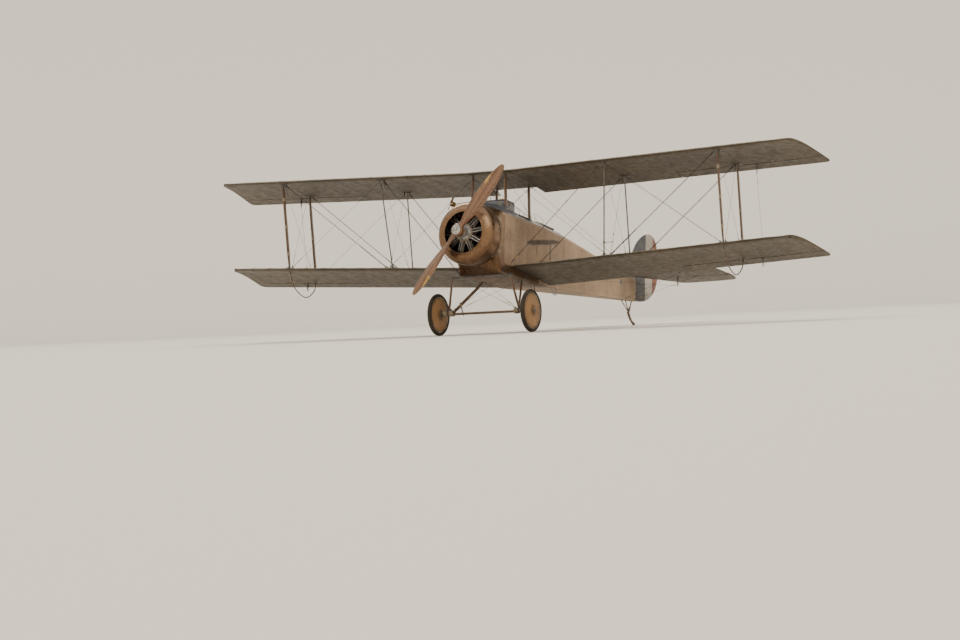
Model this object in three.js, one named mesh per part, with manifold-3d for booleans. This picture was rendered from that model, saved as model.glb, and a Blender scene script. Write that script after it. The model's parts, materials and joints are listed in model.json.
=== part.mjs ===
// Two-seat biplane with a rotary engine, standing on its wheels and tail skid.
// Millimetres. In the airframe's own axes x is to port, y is aft from the propeller and z is up from the
// thrust line. The finished group is turned nose up by the ground angle: nose towards -Y, floor at Z = 0.
import * as THREE from 'three';
import { mergeVertices } from 'three/addons/utils/BufferGeometryUtils.js';
import Module from 'manifold-3d';

const wasm = await Module();
wasm.setup();

// Driving dimensions
const DEG = Math.PI / 180;
const GAP = 0.3;                       // between pieces that rest on each other

const CHORD = 1415;
const INCIDENCE = 3.7 * DEG;
const FRONT_SPAR = 154, REAR_SPAR = 1030;         // aft of the leading edge
const HINGE = 1115;                    // aileron hinge line aft of the leading edge
const AILERON_INNER = 2950;
const AILERON_SLOT = 14;               // between wing and aileron
const UPPER = { lead: 882, height: 1092, dihedral: 1.8 * DEG, tipLead: 5244, tipTrail: 5506, root: 420 };
const LOWER = { lead: 1199, height: -462, dihedral: 2.8 * DEG, tipLead: 5156, tipTrail: 5418, root: 392 };
const CENTRE_CHORD = 1085;             // of the centre section, cut away behind its rear spar

const OUTER_STRUT = { x: 4037, chord: 85, thick: 30 };
const INNER_STRUT = { x: 2055, radius: 11, lean: { front: [-85, 30], rear: [0, 0] } };   // lean of foot and head
const CABANE = { topX: 300, footX: 305, chord: 92, thick: 34, sweep: 40 };
const STAY_RADIUS = 4;

const HALF_WIDTH = 380, LONGERON = 420, KEEL = -600;     // fuselage box
const NOSE_BACK = 800, FLAT_END = 2200, TAPER_START = 2400, COCKPIT_END = 3300, STERN = 7030;
const STERN_WIDTH = 30, STERN_TOP = 250, STERN_KEEL = -165;
const WALL = 25;

const COWL = { radius: 510, mouth: 350, front: 170, shoulder: 330, back: 560, skin: 8 };
const ENGINE = { radius: 455, cylinder: 56, centre: 350, caseRadius: 150, caseFront: 205, caseBack: 500, count: 9 };
const PROP = { radius: 1290, hub: 100, hubFront: -75, hubBack: 66, pitch: 1900, angle: 232 * DEG };

const AXLE = { y: 989, z: -1206, radius: 20, half: 935 };
const WHEEL = { x: 854.5, radius: 350, tyre: 34, rim: 280.5, hubHalf: 62, bore: 20.8 };
const APEX_X = 655;
const SKID = { y: 7030, z: -586, radius: 30 };
const APEX = { y: 6785, z: -400 };

const TAILPLANE = { lead: 6430, hinge: 7300, trail: 8090, height: 320, thick: 50, half: 1780, sweep: 27 * DEG };
const RUDDER = { hinge: 7070, thick: 36 };

const COLOURS = {
  fabric: ['#5d5138', 0.8, 0], pale: ['#cfc8b8', 0.75, 0], metal: ['#8f939a', 0.35, 0.9],
  decking: ['#8a93a1', 0.4, 0.8], wood: ['#7a4a24', 0.5, 0], steel: ['#3b3b3d', 0.5, 0.8],
  rubber: ['#35312d', 0.9, 0], disc: ['#b8a98a', 0.75, 0], stripe: ['#9aa5b4', 0.7, 0], seat: ['#5a3722', 0.7, 0],
};

// Ground angle: the wheels and the skid shoe touch the floor together.
const rise = SKID.z - AXLE.z, run = SKID.y - AXLE.y;
const GROUND_ANGLE = Math.atan2(rise, run) + Math.asin((WHEEL.radius - SKID.radius) / Math.hypot(rise, run));

// Building tools

function toSolid(geometry) {
  const bare = (geometry.index ? geometry.toNonIndexed() : geometry.clone());
  for (const name of ['normal', 'uv']) bare.deleteAttribute(name);
  const merged = mergeVertices(bare, 1e-3);
  const solid = new wasm.Manifold(new wasm.Mesh({
    numProp: 3, vertProperties: merged.attributes.position.array, triVerts: new Uint32Array(merged.index.array),
  }));
  if (solid.volume() <= 0) throw new Error('a piece is inside out');
  return solid;
}

function toGeometry(solid) {
  const mesh = solid.getMesh();
  const geometry = new THREE.BufferGeometry();
  geometry.setAttribute('position', new THREE.BufferAttribute(new Float32Array(mesh.vertProperties), 3));
  geometry.setIndex(new THREE.BufferAttribute(new Uint32Array(mesh.triVerts), 1));
  geometry.computeVertexNormals();
  return geometry;
}

const mix = (a, b, t) => a + (b - a) * t;
const part = (y, from, to) => Math.min(1, Math.max(0, (y - from) / (to - from)));

const moved = (geometry, x, y, z) => geometry.clone().translate(x, y, z);

// Cuts a piece back from its neighbours, each shifted by (x, y, z) so that a gap stays.
function cutBack(geometry, neighbours) {
  let solid = toSolid(geometry);
  for (const [neighbour, x = 0, y = 0, z = 0] of neighbours) {
    solid = solid.subtract(toSolid(moved(neighbour, x, y, z)));
  }
  return toGeometry(solid);
}

const joined = (...pieces) => toGeometry(pieces.map(toSolid).reduce((a, b) => a.add(b)));
const common = (a, b) => toGeometry(toSolid(a).intersect(toSolid(b)));

// Solid between matching rings of [x, y, z] points; across is the axis that the rings cross. With fanned
// ends each end is closed from its middle, for rings with points in a straight line.
function loft(rings, across, fanned = false) {
  const count = rings[0].length;
  const keep = { x: [1, 2], y: [2, 0], z: [0, 1] }[across];
  const index = [];
  for (let s = 0; s + 1 < rings.length; s++) {
    for (let i = 0; i < count; i++) {
      const a = s * count + i, b = s * count + (i + 1) % count;
      index.push(a, b, b + count, a, b + count, a + count);
    }
  }
  const points = rings.flat();
  const fan = (ring, first, flip) => {
    points.push([0, 1, 2].map((k) => ring.reduce((sum, p) => sum + p[k], 0) / count));
    for (let i = 0; i < count; i++) {
      const pair = [first + i, first + (i + 1) % count];
      index.push(points.length - 1, ...(flip ? pair.reverse() : pair));
    }
  };
  const cap = (ring, first, flip) => {
    const flat = ring.map((p) => new THREE.Vector2(p[keep[0]], p[keep[1]]));
    const turn = Math.sign(THREE.ShapeUtils.area(flat));
    for (const [i, j, k] of THREE.ShapeUtils.triangulateShape(flat, [])) {
      const same = Math.sign(THREE.ShapeUtils.area([flat[i], flat[j], flat[k]])) === turn;
      if (same !== flip) index.push(first + i, first + j, first + k);
      else index.push(first + i, first + k, first + j);
    }
  };
  const close = fanned ? fan : cap;
  close(rings[0], 0, true);
  close(rings.at(-1), (rings.length - 1) * count, false);
  const geometry = new THREE.BufferGeometry();
  geometry.setAttribute('position', new THREE.Float32BufferAttribute(points.flat(), 3));
  geometry.setIndex(volumeSign(points, index) < 0 ? index.toReversed() : index);
  return geometry;
}

function volumeSign(points, index) {
  let sum = 0;
  for (let i = 0; i < index.length; i += 3) {
    const [a, b, c] = [0, 1, 2].map((k) => new THREE.Vector3(...points[index[i + k]]));
    sum += a.dot(b.cross(c));
  }
  return Math.sign(sum);
}

// Upright prism over a plan outline of [x, y] points.
function prism(outline, low, high) {
  return loft([low, high].map((z) => outline.map(([x, y]) => [x, y, z])), 'z');
}

const box = (x0, x1, y0, y1, z0, z1) =>
  new THREE.BoxGeometry(x1 - x0, y1 - y0, z1 - z0).translate((x0 + x1) / 2, (y0 + y1) / 2, (z0 + z1) / 2);

// Round bar from p to q.
function bar(p, q, radius, sides = 10) {
  const from = new THREE.Vector3(...p), to = new THREE.Vector3(...q);
  const along = to.clone().sub(from);
  const turn = new THREE.Quaternion().setFromUnitVectors(new THREE.Vector3(0, 1, 0), along.clone().normalize());
  const middle = from.add(to).multiplyScalar(0.5);
  return new THREE.CylinderGeometry(radius, radius, along.length(), sides)
    .applyQuaternion(turn).translate(middle.x, middle.y, middle.z);
}

// Streamlined strut from foot to head, blunt edge forward, with level ends.
function strut(foot, head, chord, thick, sides = 16) {
  const ring = ([x, y, z]) => Array.from({ length: sides }, (_, i) => {
    const t = i / sides * 2 * Math.PI;
    const fineness = 1 - 0.35 * Math.cos(t);
    return [x + thick / 2 * Math.sin(t) * fineness, y + chord / 2 * Math.cos(t), z];
  });
  return loft([ring(foot), ring(head)], 'z');
}

// Solid of revolution about the thrust line from an outline of [radius, y] points, which starts and ends
// on the axis or else closes on itself.
function turned(outline, sides) {
  const closed = outline[0][0] === 0 ? outline : [...outline, outline[0]];
  const points = closed.map(([r, y]) => new THREE.Vector2(r, y));
  return new THREE.LatheGeometry(THREE.ShapeUtils.area(points) > 0 ? points : points.reverse(), sides);
}

// Wings

// Section of the wing in hundredths of the chord: place, upper surface, lower surface.
const SECTION = [
  [0, 1.2, 1.2], [1.5, 2.7, 0.4], [6, 4.4, 0.1], [12, 5.8, 0.2], [22, 6.9, 0.7], [35, 7.2, 1.1],
  [50, 6.4, 1.1], [65, 4.9, 0.85], [78, 3.4, 0.5], [90, 1.7, 0.2], [100, 0.35, 0],
];

const sectionPoint = (column) => (row) => new THREE.Vector3(row[0], row[column], 0);
const SECTION_CURVE = new THREE.CatmullRomCurve3(
  [...SECTION.toReversed().map(sectionPoint(1)), ...SECTION.slice(1).map(sectionPoint(2))]);
const SECTION_STEPS = 40;              // round the section: two for each stretch of the table

// Height of the section's mean line, in hundredths of the chord.
function meanLine(place) {
  const i = Math.max(1, SECTION.findIndex(([at]) => place <= at));
  const [[a, aUp, aLow], [b, bUp, bLow]] = [SECTION[i - 1], SECTION[i]];
  return mix((aUp + aLow) / 2, (bUp + bLow) / 2, part(place, a, b));
}

// One ring of the wing at x: thin scales the depth about the mean line.
function wingRing(wing, x, thin) {
  return SECTION_CURVE.getPoints(SECTION_STEPS).map((p) => {
    const mean = meanLine(p.x);
    const y = p.x / 100 * CHORD, z = (mean + (p.y - mean) * thin) / 100 * CHORD;
    return [x, wing.lead + y * Math.cos(INCIDENCE) + z * Math.sin(INCIDENCE),
      wing.height + Math.abs(x) * Math.tan(wing.dihedral) - y * Math.sin(INCIDENCE) + z * Math.cos(INCIDENCE)];
  });
}

const BEYOND = 80;                     // how far the cutting outlines run past the wing

// Plan outline of the whole panel with its raked, rounded tip.
function panelPlan(wing, side) {
  const lead = wing.lead, trail = wing.lead + CHORD;
  const lean = (wing.tipTrail - wing.tipLead) / CHORD;
  const shape = new THREE.Shape();
  shape.moveTo(wing.root, lead - BEYOND);
  shape.lineTo(wing.tipLead - 170, lead - BEYOND);
  shape.lineTo(wing.tipLead - 170, lead - 2);
  shape.quadraticCurveTo(wing.tipLead - 10, lead - 2, wing.tipLead + 190 * lean, lead + 190);
  shape.lineTo(wing.tipTrail - 150 * lean, trail - 150);
  shape.quadraticCurveTo(wing.tipTrail, trail, wing.tipTrail - 130, trail - 1);
  shape.lineTo(wing.tipTrail - 130, trail + BEYOND);
  shape.lineTo(wing.root, trail + BEYOND);
  return shape.getPoints(8).map((p) => [p.x * side, p.y]);
}

const HIGH = 2200;                     // taller than any wing cut

function wingPanel(wing, side) {
  const stations = [[wing.root, 1], [4700, 1], [5150, 0.8], [wing.tipTrail + 20, 0.4]];
  const whole = loft(stations.map(([x, thin]) => wingRing(wing, x * side, thin)), 'x');
  return common(whole, prism(panelPlan(wing, side), -HIGH, HIGH));
}

function aileronPlan(wing, side, front, inner) {
  const outer = wing.tipTrail + BEYOND, back = wing.lead + CHORD + BEYOND;
  return [[inner, front], [outer, front], [outer, back], [inner, back]].map(([x, y]) => [x * side, y]);
}

function wingAndAileron(wing, side) {
  const whole = wingPanel(wing, side);
  const bay = prism(aileronPlan(wing, side, wing.lead + HINGE - AILERON_SLOT, AILERON_INNER - AILERON_SLOT), -HIGH, HIGH);
  const flap = prism(aileronPlan(wing, side, wing.lead + HINGE, AILERON_INNER), -HIGH, HIGH);
  return { panel: cutBack(whole, [[bay]]), aileron: common(whole, flap) };
}

// Level from root to root, and cut away behind.
function centreSection() {
  const edge = UPPER.root - GAP;
  const whole = loft([-edge, edge].map((x) => wingRing(UPPER, x, 1)), 'x');
  const cut = box(-HIGH, HIGH, UPPER.lead + CENTRE_CHORD, UPPER.lead + CHORD + BEYOND, 0, HIGH);
  return cutBack(whole, [[cut]]);
}

// Height of the wing's mean line at x and distance aft of the leading edge.
const wingHeight = (wing, x, aft) =>
  wing.height + Math.abs(x) * Math.tan(wing.dihedral) - aft * Math.tan(INCIDENCE) + 0.03 * CHORD;

const spars = { front: FRONT_SPAR, rear: REAR_SPAR };
const BITE = 22;                       // how far a strut runs into a wing before it is cut back

function interplane(spar, footX, headX, make) {
  const foot = [footX, LOWER.lead + spars[spar], wingHeight(LOWER, footX, spars[spar]) + BITE];
  const head = [headX, UPPER.lead + spars[spar], wingHeight(UPPER, headX, spars[spar]) - BITE];
  return make(foot, head);
}

// Fuselage

// Half width, bottom, top edge and rise of the rounded decking at a station.
function frameAt(y) {
  const rises = [[NOSE_BACK, 115], [1000, 200], [1500, 200], [1640, 150], [COCKPIT_END, 150], [6300, 14], [STERN, 8]];
  const i = Math.max(1, rises.findIndex(([at]) => y <= at));
  return {
    half: mix(HALF_WIDTH, STERN_WIDTH, part(y, TAPER_START, STERN)),
    keel: mix(KEEL, STERN_KEEL, part(y, FLAT_END, STERN)),
    edge: mix(LONGERON, STERN_TOP, part(y, 3000, STERN)),
    rise: mix(rises[i - 1][1], rises[i][1], part(y, rises[i - 1][0], rises[i][0])),
  };
}

const ARCH_STEPS = 20;

// Arch over the top edge from port to starboard, thinned by inset.
function arch({ half, edge, rise: top }, inset, lift = 0) {
  const radius = (half * half + top * top) / (2 * top), centre = edge + top - radius;
  const r = radius - inset, reach = Math.acos((edge - centre) / r);
  return Array.from({ length: ARCH_STEPS + 1 }, (_, i) => {
    const t = reach * (1 - 2 * i / ARCH_STEPS);
    return [r * Math.sin(t), centre + r * Math.cos(t) + lift];
  });
}

function sidePanel(side) {
  const stations = [NOSE_BACK + GAP, FLAT_END, TAPER_START, COCKPIT_END - GAP];
  return loft(stations.map((y) => {
    const { half, keel, edge } = frameAt(y);
    return [[half, keel], [half, edge], [half - WALL, edge], [half - WALL, keel]].map(([x, z]) => [x * side, y, z]);
  }), 'y');
}

function bellyPanel() {
  const stations = [NOSE_BACK + GAP, FLAT_END, TAPER_START, COCKPIT_END - GAP];
  return loft(stations.map((y) => {
    const { half, keel } = frameAt(y), x = half - WALL - GAP;
    return [[x, keel], [x, keel + WALL], [-x, keel + WALL], [-x, keel]].map(([u, z]) => [u, y, z]);
  }), 'y');
}

const COCKPITS = [
  { name: 'front', front: 1660, back: 2240, half: 250, seat: 1830 },
  { name: 'rear', front: 2560, back: 3130, half: 235, seat: 2730 },
];

function cockpitCut({ front, back, half }) {
  const shape = new THREE.Shape();
  const corner = 170;
  shape.absarc(half - corner, front + corner, corner, -Math.PI / 2, 0);
  shape.absarc(half - corner, back - corner, corner, 0, Math.PI / 2);
  shape.absarc(-half + corner, back - corner, corner, Math.PI / 2, Math.PI);
  shape.absarc(-half + corner, front + corner, corner, Math.PI, Math.PI * 1.5);
  return prism(shape.getPoints(4).slice(0, -1).map((p) => [p.x, p.y]), 300, 900);
}

function topDecking() {
  const stations = [NOSE_BACK + GAP, 1000, 1500, 1640, TAPER_START, COCKPIT_END - GAP];
  const shell = loft(stations.map((y) => {
    const frame = frameAt(y);
    const ring = [...arch(frame, 0, GAP), ...arch(frame, 18, GAP).reverse()];
    return ring.map(([x, z]) => [x, y, z]);
  }), 'y');
  return cutBack(shell, COCKPITS.map((cockpit) => [cockpitCut(cockpit)]));
}

function rearFuselage() {
  const stations = [COCKPIT_END + GAP, 4300, 5300, 6300, STERN];
  return loft(stations.map((y) => {
    const frame = frameAt(y);
    const ring = [[-frame.half, frame.keel], [frame.half, frame.keel], ...arch(frame, 0)];
    return ring.map(([x, z]) => [x, y, z]);
  }), 'y');
}

// Distance from the thrust line to a closed outline of [x, z] points in one direction.
function reachTo(outline, angle) {
  const dx = Math.cos(angle), dz = Math.sin(angle);
  let best = 0;
  outline.forEach(([x0, z0], i) => {
    const [x1, z1] = outline[(i + 1) % outline.length];
    const ex = x1 - x0, ez = z1 - z0, cross = dx * ez - dz * ex;
    if (Math.abs(cross) < 1e-9) return;
    const t = (x0 * ez - z0 * ex) / cross, s = (x0 * dz - z0 * dx) / cross;
    if (t > 0 && s >= -1e-9 && s <= 1 + 1e-9) best = Math.max(best, t);
  });
  return best;
}

function noseFairing() {
  const frame = frameAt(NOSE_BACK);
  const outline = [[-frame.half, frame.keel], [frame.half, frame.keel], ...arch(frame, 0)];
  const angles = Array.from({ length: 60 }, (_, i) => i / 60 * 2 * Math.PI - Math.PI);
  for (const [x, z] of outline.slice(0, 3).concat([outline.at(-1)])) angles.push(Math.atan2(z, x));
  const order = [...new Set(angles.map((a) => a.toFixed(4)))].map(Number).sort((a, b) => a - b);
  const ring = (y, reach) => order.map((a) => [reach(a) * Math.cos(a), y, reach(a) * Math.sin(a)]);
  const rings = [ring(COWL.back + GAP, () => COWL.radius - 1), ring(NOSE_BACK - GAP, (a) => reachTo(outline, a))];
  const shell = loft(rings, 'y', true);
  const mount = turned([[0, ENGINE.caseBack + 8], [60, ENGINE.caseBack + 8], [75, COWL.back + 20], [0, COWL.back + 20]], 24);
  return joined(shell, mount);
}

// Engine and propeller

function engineCowl() {
  const { radius, mouth, front, shoulder, back, skin } = COWL;
  const lip = Array.from({ length: 7 }, (_, i) => i / 6 * Math.PI / 2);
  const curve = (r0, y0, dr, dy) => lip.map((t) => [r0 + dr * Math.sin(t), y0 - dy * Math.cos(t)]);
  const outer = curve(mouth, shoulder, radius - mouth, shoulder - front);
  const inner = curve(mouth, shoulder, radius - mouth - skin, shoulder - front - skin);
  return turned([...outer, [radius, back - GAP], [radius - skin, back - GAP], ...inner.reverse()], 60);
}

function rotaryEngine() {
  const { radius, cylinder, centre, caseRadius, caseFront, caseBack, count } = ENGINE;
  const pieces = [turned([[0, PROP.hubBack + GAP], [42, PROP.hubBack + GAP], [55, caseFront - 30], [caseRadius - 20, caseFront],
    [caseRadius, caseFront + 40], [caseRadius, caseBack - 30], [caseRadius - 25, caseBack], [0, caseBack]], 27)];
  for (let i = 0; i < count; i++) {
    const t = i / count * 2 * Math.PI + Math.PI / 2;
    const at = (r) => [r * Math.cos(t), centre, r * Math.sin(t)];
    pieces.push(bar(at(caseRadius - 30), at(radius - 40), cylinder, 12), bar(at(radius - 60), at(radius), cylinder * 0.6, 6));
  }
  return joined(...pieces);
}

// Blade stations: distance from the hub's axis, width and thickness.
const BLADE = [
  [40, 96, 84], [150, 110, 70], [300, 165, 50], [450, 200, 42], [600, 215, 36], [750, 212, 31],
  [900, 200, 26], [1030, 178, 21], [1130, 150, 17], [1210, 115, 13], [1265, 75, 9], [1290, 36, 6],
];

function blade(direction) {
  const along = [Math.cos(direction), Math.sin(direction)];
  const across = [-along[1], along[0]];          // the way the blade sweeps
  const sides = 14;
  return loft(BLADE.map(([r, width, thick]) => {
    const pitch = Math.min(Math.atan2(PROP.pitch, 2 * Math.PI * r), 62 * DEG);
    return Array.from({ length: sides }, (_, i) => {
      const t = i / sides * 2 * Math.PI;
      const u = width / 2 * Math.cos(t), v = thick / 2 * Math.sin(t);
      const sweep = u * Math.cos(pitch) - v * Math.sin(pitch), aft = -u * Math.sin(pitch) - v * Math.cos(pitch);
      return [along[0] * r + across[0] * sweep, aft - 5, along[1] * r + across[1] * sweep];
    });
  }), Math.abs(along[0]) > Math.abs(along[1]) ? 'x' : 'z');
}

function propeller() {
  const { hub, hubFront, hubBack, angle } = PROP;
  const boss = turned([[0, hubFront], [70, hubFront], [72, hubFront + 12], [hub, hubFront + 14], [hub, hubBack - 14],
    [78, hubBack], [0, hubBack]], 24);
  return joined(boss, blade(angle), blade(angle + Math.PI));
}

// Undercarriage and skids

// Axle in its streamlined fairing; grown, it cuts the legs back with room all round.
function axle(grown = 0) {
  const end = APEX_X + 45;
  const fairing = strut([0, AXLE.y, -end], [0, AXLE.y, end], 96 + grown, 36 + grown)
    .applyMatrix4(new THREE.Matrix4().makeRotationY(Math.PI / 2)).translate(0, 0, AXLE.z);
  const rod = bar([-AXLE.half, AXLE.y, AXLE.z], [AXLE.half, AXLE.y, AXLE.z], AXLE.radius + grown / 2, 24);
  return joined(fairing, rod);
}

const CROSS = { y: 840, z: KEEL - 16.3, half: 575 };

function crossTube(grown = 0) {
  return strut([0, CROSS.y, -CROSS.half], [0, CROSS.y, CROSS.half], 64 + grown, 30 + grown)
    .applyMatrix4(new THREE.Matrix4().makeRotationY(Math.PI / 2)).translate(0, 0, CROSS.z);
}

// A wheel's outline is drawn as [radius, offset from its middle] and turned about its axle.
function aboutAxle(outline, sides, side) {
  return turned(outline, sides).rotateZ(-Math.PI / 2).rotateX(GROUND_ANGLE).translate(WHEEL.x * side, AXLE.y, AXLE.z);
}

function tyre(side) {
  const centre = WHEEL.radius - WHEEL.tyre, steps = 10;
  const outline = Array.from({ length: steps }, (_, i) => {
    const t = i / steps * 2 * Math.PI;
    return [centre + WHEEL.tyre * Math.cos(t), WHEEL.tyre * 1.08 * Math.sin(t)];
  });
  return aboutAxle(outline, 60, side);
}

function wheelDisc(side) {
  const { rim, hubHalf, bore } = WHEEL;
  const half = [[bore, hubHalf], [44, hubHalf], [50, hubHalf - 12], [rim - 12, 26], [rim, 22]];
  return aboutAxle([...half, ...half.map(([r, w]) => [r, -w]).reverse()], 48, side);
}

function skidFrame() {
  const apex = [0, APEX.y, APEX.z];
  return joined(bar([45, 6520, -190], apex, 9), bar([-45, 6520, -190], apex, 9), bar([0, 6930, -140], apex, 11),
    new THREE.SphereGeometry(24, 12, 8).translate(...apex));
}

function tailSkid() {
  const path = new THREE.QuadraticBezierCurve3(new THREE.Vector3(0, APEX.y - 22, APEX.z + 6),
    new THREE.Vector3(0, APEX.y + 70, APEX.z - 150), new THREE.Vector3(0, SKID.y, SKID.z));
  const section = new THREE.Shape([[-22, -20], [22, -20], [22, 20], [-22, 20]].map(([a, b]) => new THREE.Vector2(a, b)));
  const ash = new THREE.ExtrudeGeometry(section, { extrudePath: path, steps: 10 });
  const shoe = new THREE.SphereGeometry(SKID.radius, 12, 8).rotateX(Math.PI / 2 + GROUND_ANGLE).translate(0, SKID.y, SKID.z);
  return joined(ash, shoe);
}

function tipHoop(side) {
  const x = OUTER_STRUT.x * side;
  const top = (aft) => wingHeight(LOWER, x, aft) - 30;
  const points = [[FRONT_SPAR + 10, top(FRONT_SPAR) + 10], [330, -520], [690, -640], [960, -500], [REAR_SPAR - 5, top(REAR_SPAR) + 10]];
  const path = new THREE.CatmullRomCurve3(points.map(([aft, z]) => new THREE.Vector3(x, LOWER.lead + aft, z)));
  const section = new THREE.Shape();
  section.absarc(0, 0, 9, 0, 2 * Math.PI);
  return new THREE.ExtrudeGeometry(section, { extrudePath: path, steps: 18, curveSegments: 4 });
}

// Tail

function tailRing(x, y0, y1, thin) {
  const { height, thick } = TAILPLANE;
  const profile = [[0, 0.12], [0.06, 0.6], [0.25, 1], [0.6, 1], [1, 0.8]];
  const at = (side) => profile.map(([t, depth]) => [x, mix(y0, y1, t), height + side * depth * thin * thick / 2]);
  return [...at(1), ...at(-1).reverse()];
}

function tailplane() {
  const { lead, hinge, half, sweep } = TAILPLANE;
  const slot = 20;
  const stations = [[-half, 230, 0.5], [-half + 60, 110, 0.75], [-half + 220, 40, 1], [half - 220, 40, 1], [half - 60, 110, 0.75], [half, 230, 0.5]];
  const whole = loft(stations.map(([x, back, thin]) => tailRing(x, lead + back, hinge - slot, thin)), 'x');
  const wide = 60 + (hinge - RUDDER.hinge) * Math.tan(sweep);
  const notch = prism([[-60, RUDDER.hinge - 40], [60, RUDDER.hinge - 40], [wide, hinge + 10], [-wide, hinge + 10]], 0, 700);
  return cutBack(whole, [[notch]]);
}

function elevator(side) {
  const { hinge, trail, half, height, thick, sweep } = TAILPLANE;
  const inner = (y) => 70 + (y - RUDDER.hinge) * Math.tan(sweep);
  const shape = new THREE.Shape();
  shape.moveTo(inner(hinge), hinge);
  shape.lineTo(half, hinge);
  shape.quadraticCurveTo(half + 6, trail - 190, half - 150, trail - 130);
  shape.quadraticCurveTo(half - 700, trail, inner(trail) + 40, trail);
  shape.lineTo(inner(trail - 40), trail - 40);
  const plan = prism(shape.getPoints(6).map((p) => [p.x * side, p.y]), 0, 700);
  const wedge = [[hinge - 5, 0.8], [hinge + 200, 0.62], [trail + 5, 0.1]];
  const ring = (x) => [...wedge.map(([y, t]) => [x, y, height + t * thick / 2]),
    ...wedge.map(([y, t]) => [x, y, height - t * thick / 2]).reverse()];
  return common(loft([ring(0), ring((half + 20) * side)], 'x'), plan);
}

function rudder() {
  const { hinge, thick } = RUDDER;
  const balanceFoot = 430, front = hinge - 18;
  const shape = new THREE.Shape();
  shape.moveTo(front, -150);
  shape.quadraticCurveTo(7560, -135, 7830, 50);
  shape.quadraticCurveTo(8105, 240, 8118, 600);
  shape.quadraticCurveTo(8125, 1080, 7850, 1205);
  shape.quadraticCurveTo(7560, 1290, 7170, 1024);
  shape.quadraticCurveTo(6900, 800, 6760, balanceFoot + 40);
  shape.quadraticCurveTo(6745, balanceFoot, 6800, balanceFoot);
  shape.lineTo(front, balanceFoot);
  return new THREE.ExtrudeGeometry(shape, { depth: thick, bevelEnabled: false, curveSegments: 8 })
    .applyMatrix4(new THREE.Matrix4().makeBasis(
      new THREE.Vector3(0, 1, 0), new THREE.Vector3(0, 0, 1), new THREE.Vector3(1, 0, 0)))
    .translate(-thick / 2, 0, 0);
}

// Seats: side outline in [aft of the seat's front, z]
const SEAT_OUTLINE = [[0, -130], [330, -130], [375, 210], [410, 210], [385, -190], [385, -640], [355, -640], [355, -190],
  [30, -190], [30, -640], [0, -640]];

function seat({ seat: front, name }) {
  const half = name === 'front' ? 215 : 200;
  const ring = (x) => SEAT_OUTLINE.map(([y, z]) => [x, front + y, z]);
  return loft([ring(-half), ring(half)], 'x');
}

// Assembly

const airframe = new THREE.Group();
const made = {};

function add(name, geometry, colour) {
  const [hex, roughness, metalness] = COLOURS[colour];
  const mesh = new THREE.Mesh(geometry, new THREE.MeshStandardMaterial({ color: hex, roughness, metalness }));
  mesh.name = name;
  airframe.add(mesh);
  made[name] = geometry;
}

add('engine_cowl', engineCowl(), 'metal');
add('nose_fairing', noseFairing(), 'metal');
add('rotary_engine', rotaryEngine(), 'steel');
add('propeller', propeller(), 'wood');

const SIDES = [['port', 1], ['starboard', -1]];

for (const [name, side] of SIDES) add(`side_panel_${name}`, sidePanel(side), 'pale');
add('belly_panel', bellyPanel(), 'pale');
add('top_decking', topDecking(), 'decking');
add('rear_fuselage', rearFuselage(), 'pale');
for (const cockpit of COCKPITS) {
  add(`${cockpit.name}_seat`, cutBack(seat(cockpit), [[belowFloor()], [made.belly_panel, 0, 0, GAP]]), 'seat');
}

// Everything under the floor's lower face, to trim the seats.
function belowFloor() {
  const stations = [NOSE_BACK, FLAT_END, COCKPIT_END];
  return loft(stations.map((y) => {
    const { keel } = frameAt(y);
    return [[-HALF_WIDTH, keel + WALL / 2], [HALF_WIDTH, keel + WALL / 2], [HALF_WIDTH, -HIGH], [-HALF_WIDTH, -HIGH]]
      .map(([x, z]) => [x, y, z]);
  }), 'y');
}

add('upper_centre_section', centreSection(), 'fabric');
for (const [level, wing] of [['upper', UPPER], ['lower', LOWER]]) {
  for (const [name, side] of SIDES) {
    const { panel, aileron } = wingAndAileron(wing, side);
    add(`${level}_wing_${name}`, panel, 'fabric');
    add(`aileron_${level}_${name}`, aileron, 'fabric');
  }
}

const betweenWings = (name) => [[made[`upper_wing_${name}`], 0, 0, -GAP], [made[`lower_wing_${name}`], 0, 0, GAP]];

for (const [name, side] of SIDES) {
  for (const spar of ['front', 'rear']) {
    const outerX = OUTER_STRUT.x * side;
    const outer = interplane(spar, outerX, outerX, (a, b) => strut(a, b, OUTER_STRUT.chord, OUTER_STRUT.thick));
    add(`outer_strut_${spar}_${name}`, cutBack(outer, betweenWings(name)), 'wood');
    const [footX, headX] = INNER_STRUT.lean[spar].map((lean) => (INNER_STRUT.x + lean) * side);
    const inner = interplane(spar, footX, headX, (a, b) => strut(a, b, INNER_STRUT.radius * 2, INNER_STRUT.radius * 2));
    add(`inner_strut_${spar}_${name}`, cutBack(inner, betweenWings(name)), 'steel');

    const headY = UPPER.lead + spars[spar];
    const head = [CABANE.topX * side, headY, wingHeight(UPPER, CABANE.topX, spars[spar]) - BITE];
    const foot = [CABANE.footX * side, headY + CABANE.sweep, LONGERON + 25];
    const cabane = strut(foot, head, CABANE.chord, CABANE.thick);
    add(`cabane_strut_${spar}_${name}`,
      cutBack(cabane, [[made.upper_centre_section, 0, 0, -GAP], [deckBlock()]]), 'wood');

    const low = [(INNER_STRUT.x + 50) * side, LOWER.lead + spars[spar], wingHeight(LOWER, INNER_STRUT.x, spars[spar])];
    const high = [(OUTER_STRUT.x - 55) * side, UPPER.lead + spars[spar], wingHeight(UPPER, OUTER_STRUT.x, spars[spar])];
    add(`flying_stay_${spar}_${name}`, cutBack(bar(low, high, STAY_RADIUS, 6), betweenWings(name)), 'steel');
  }
}

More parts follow.
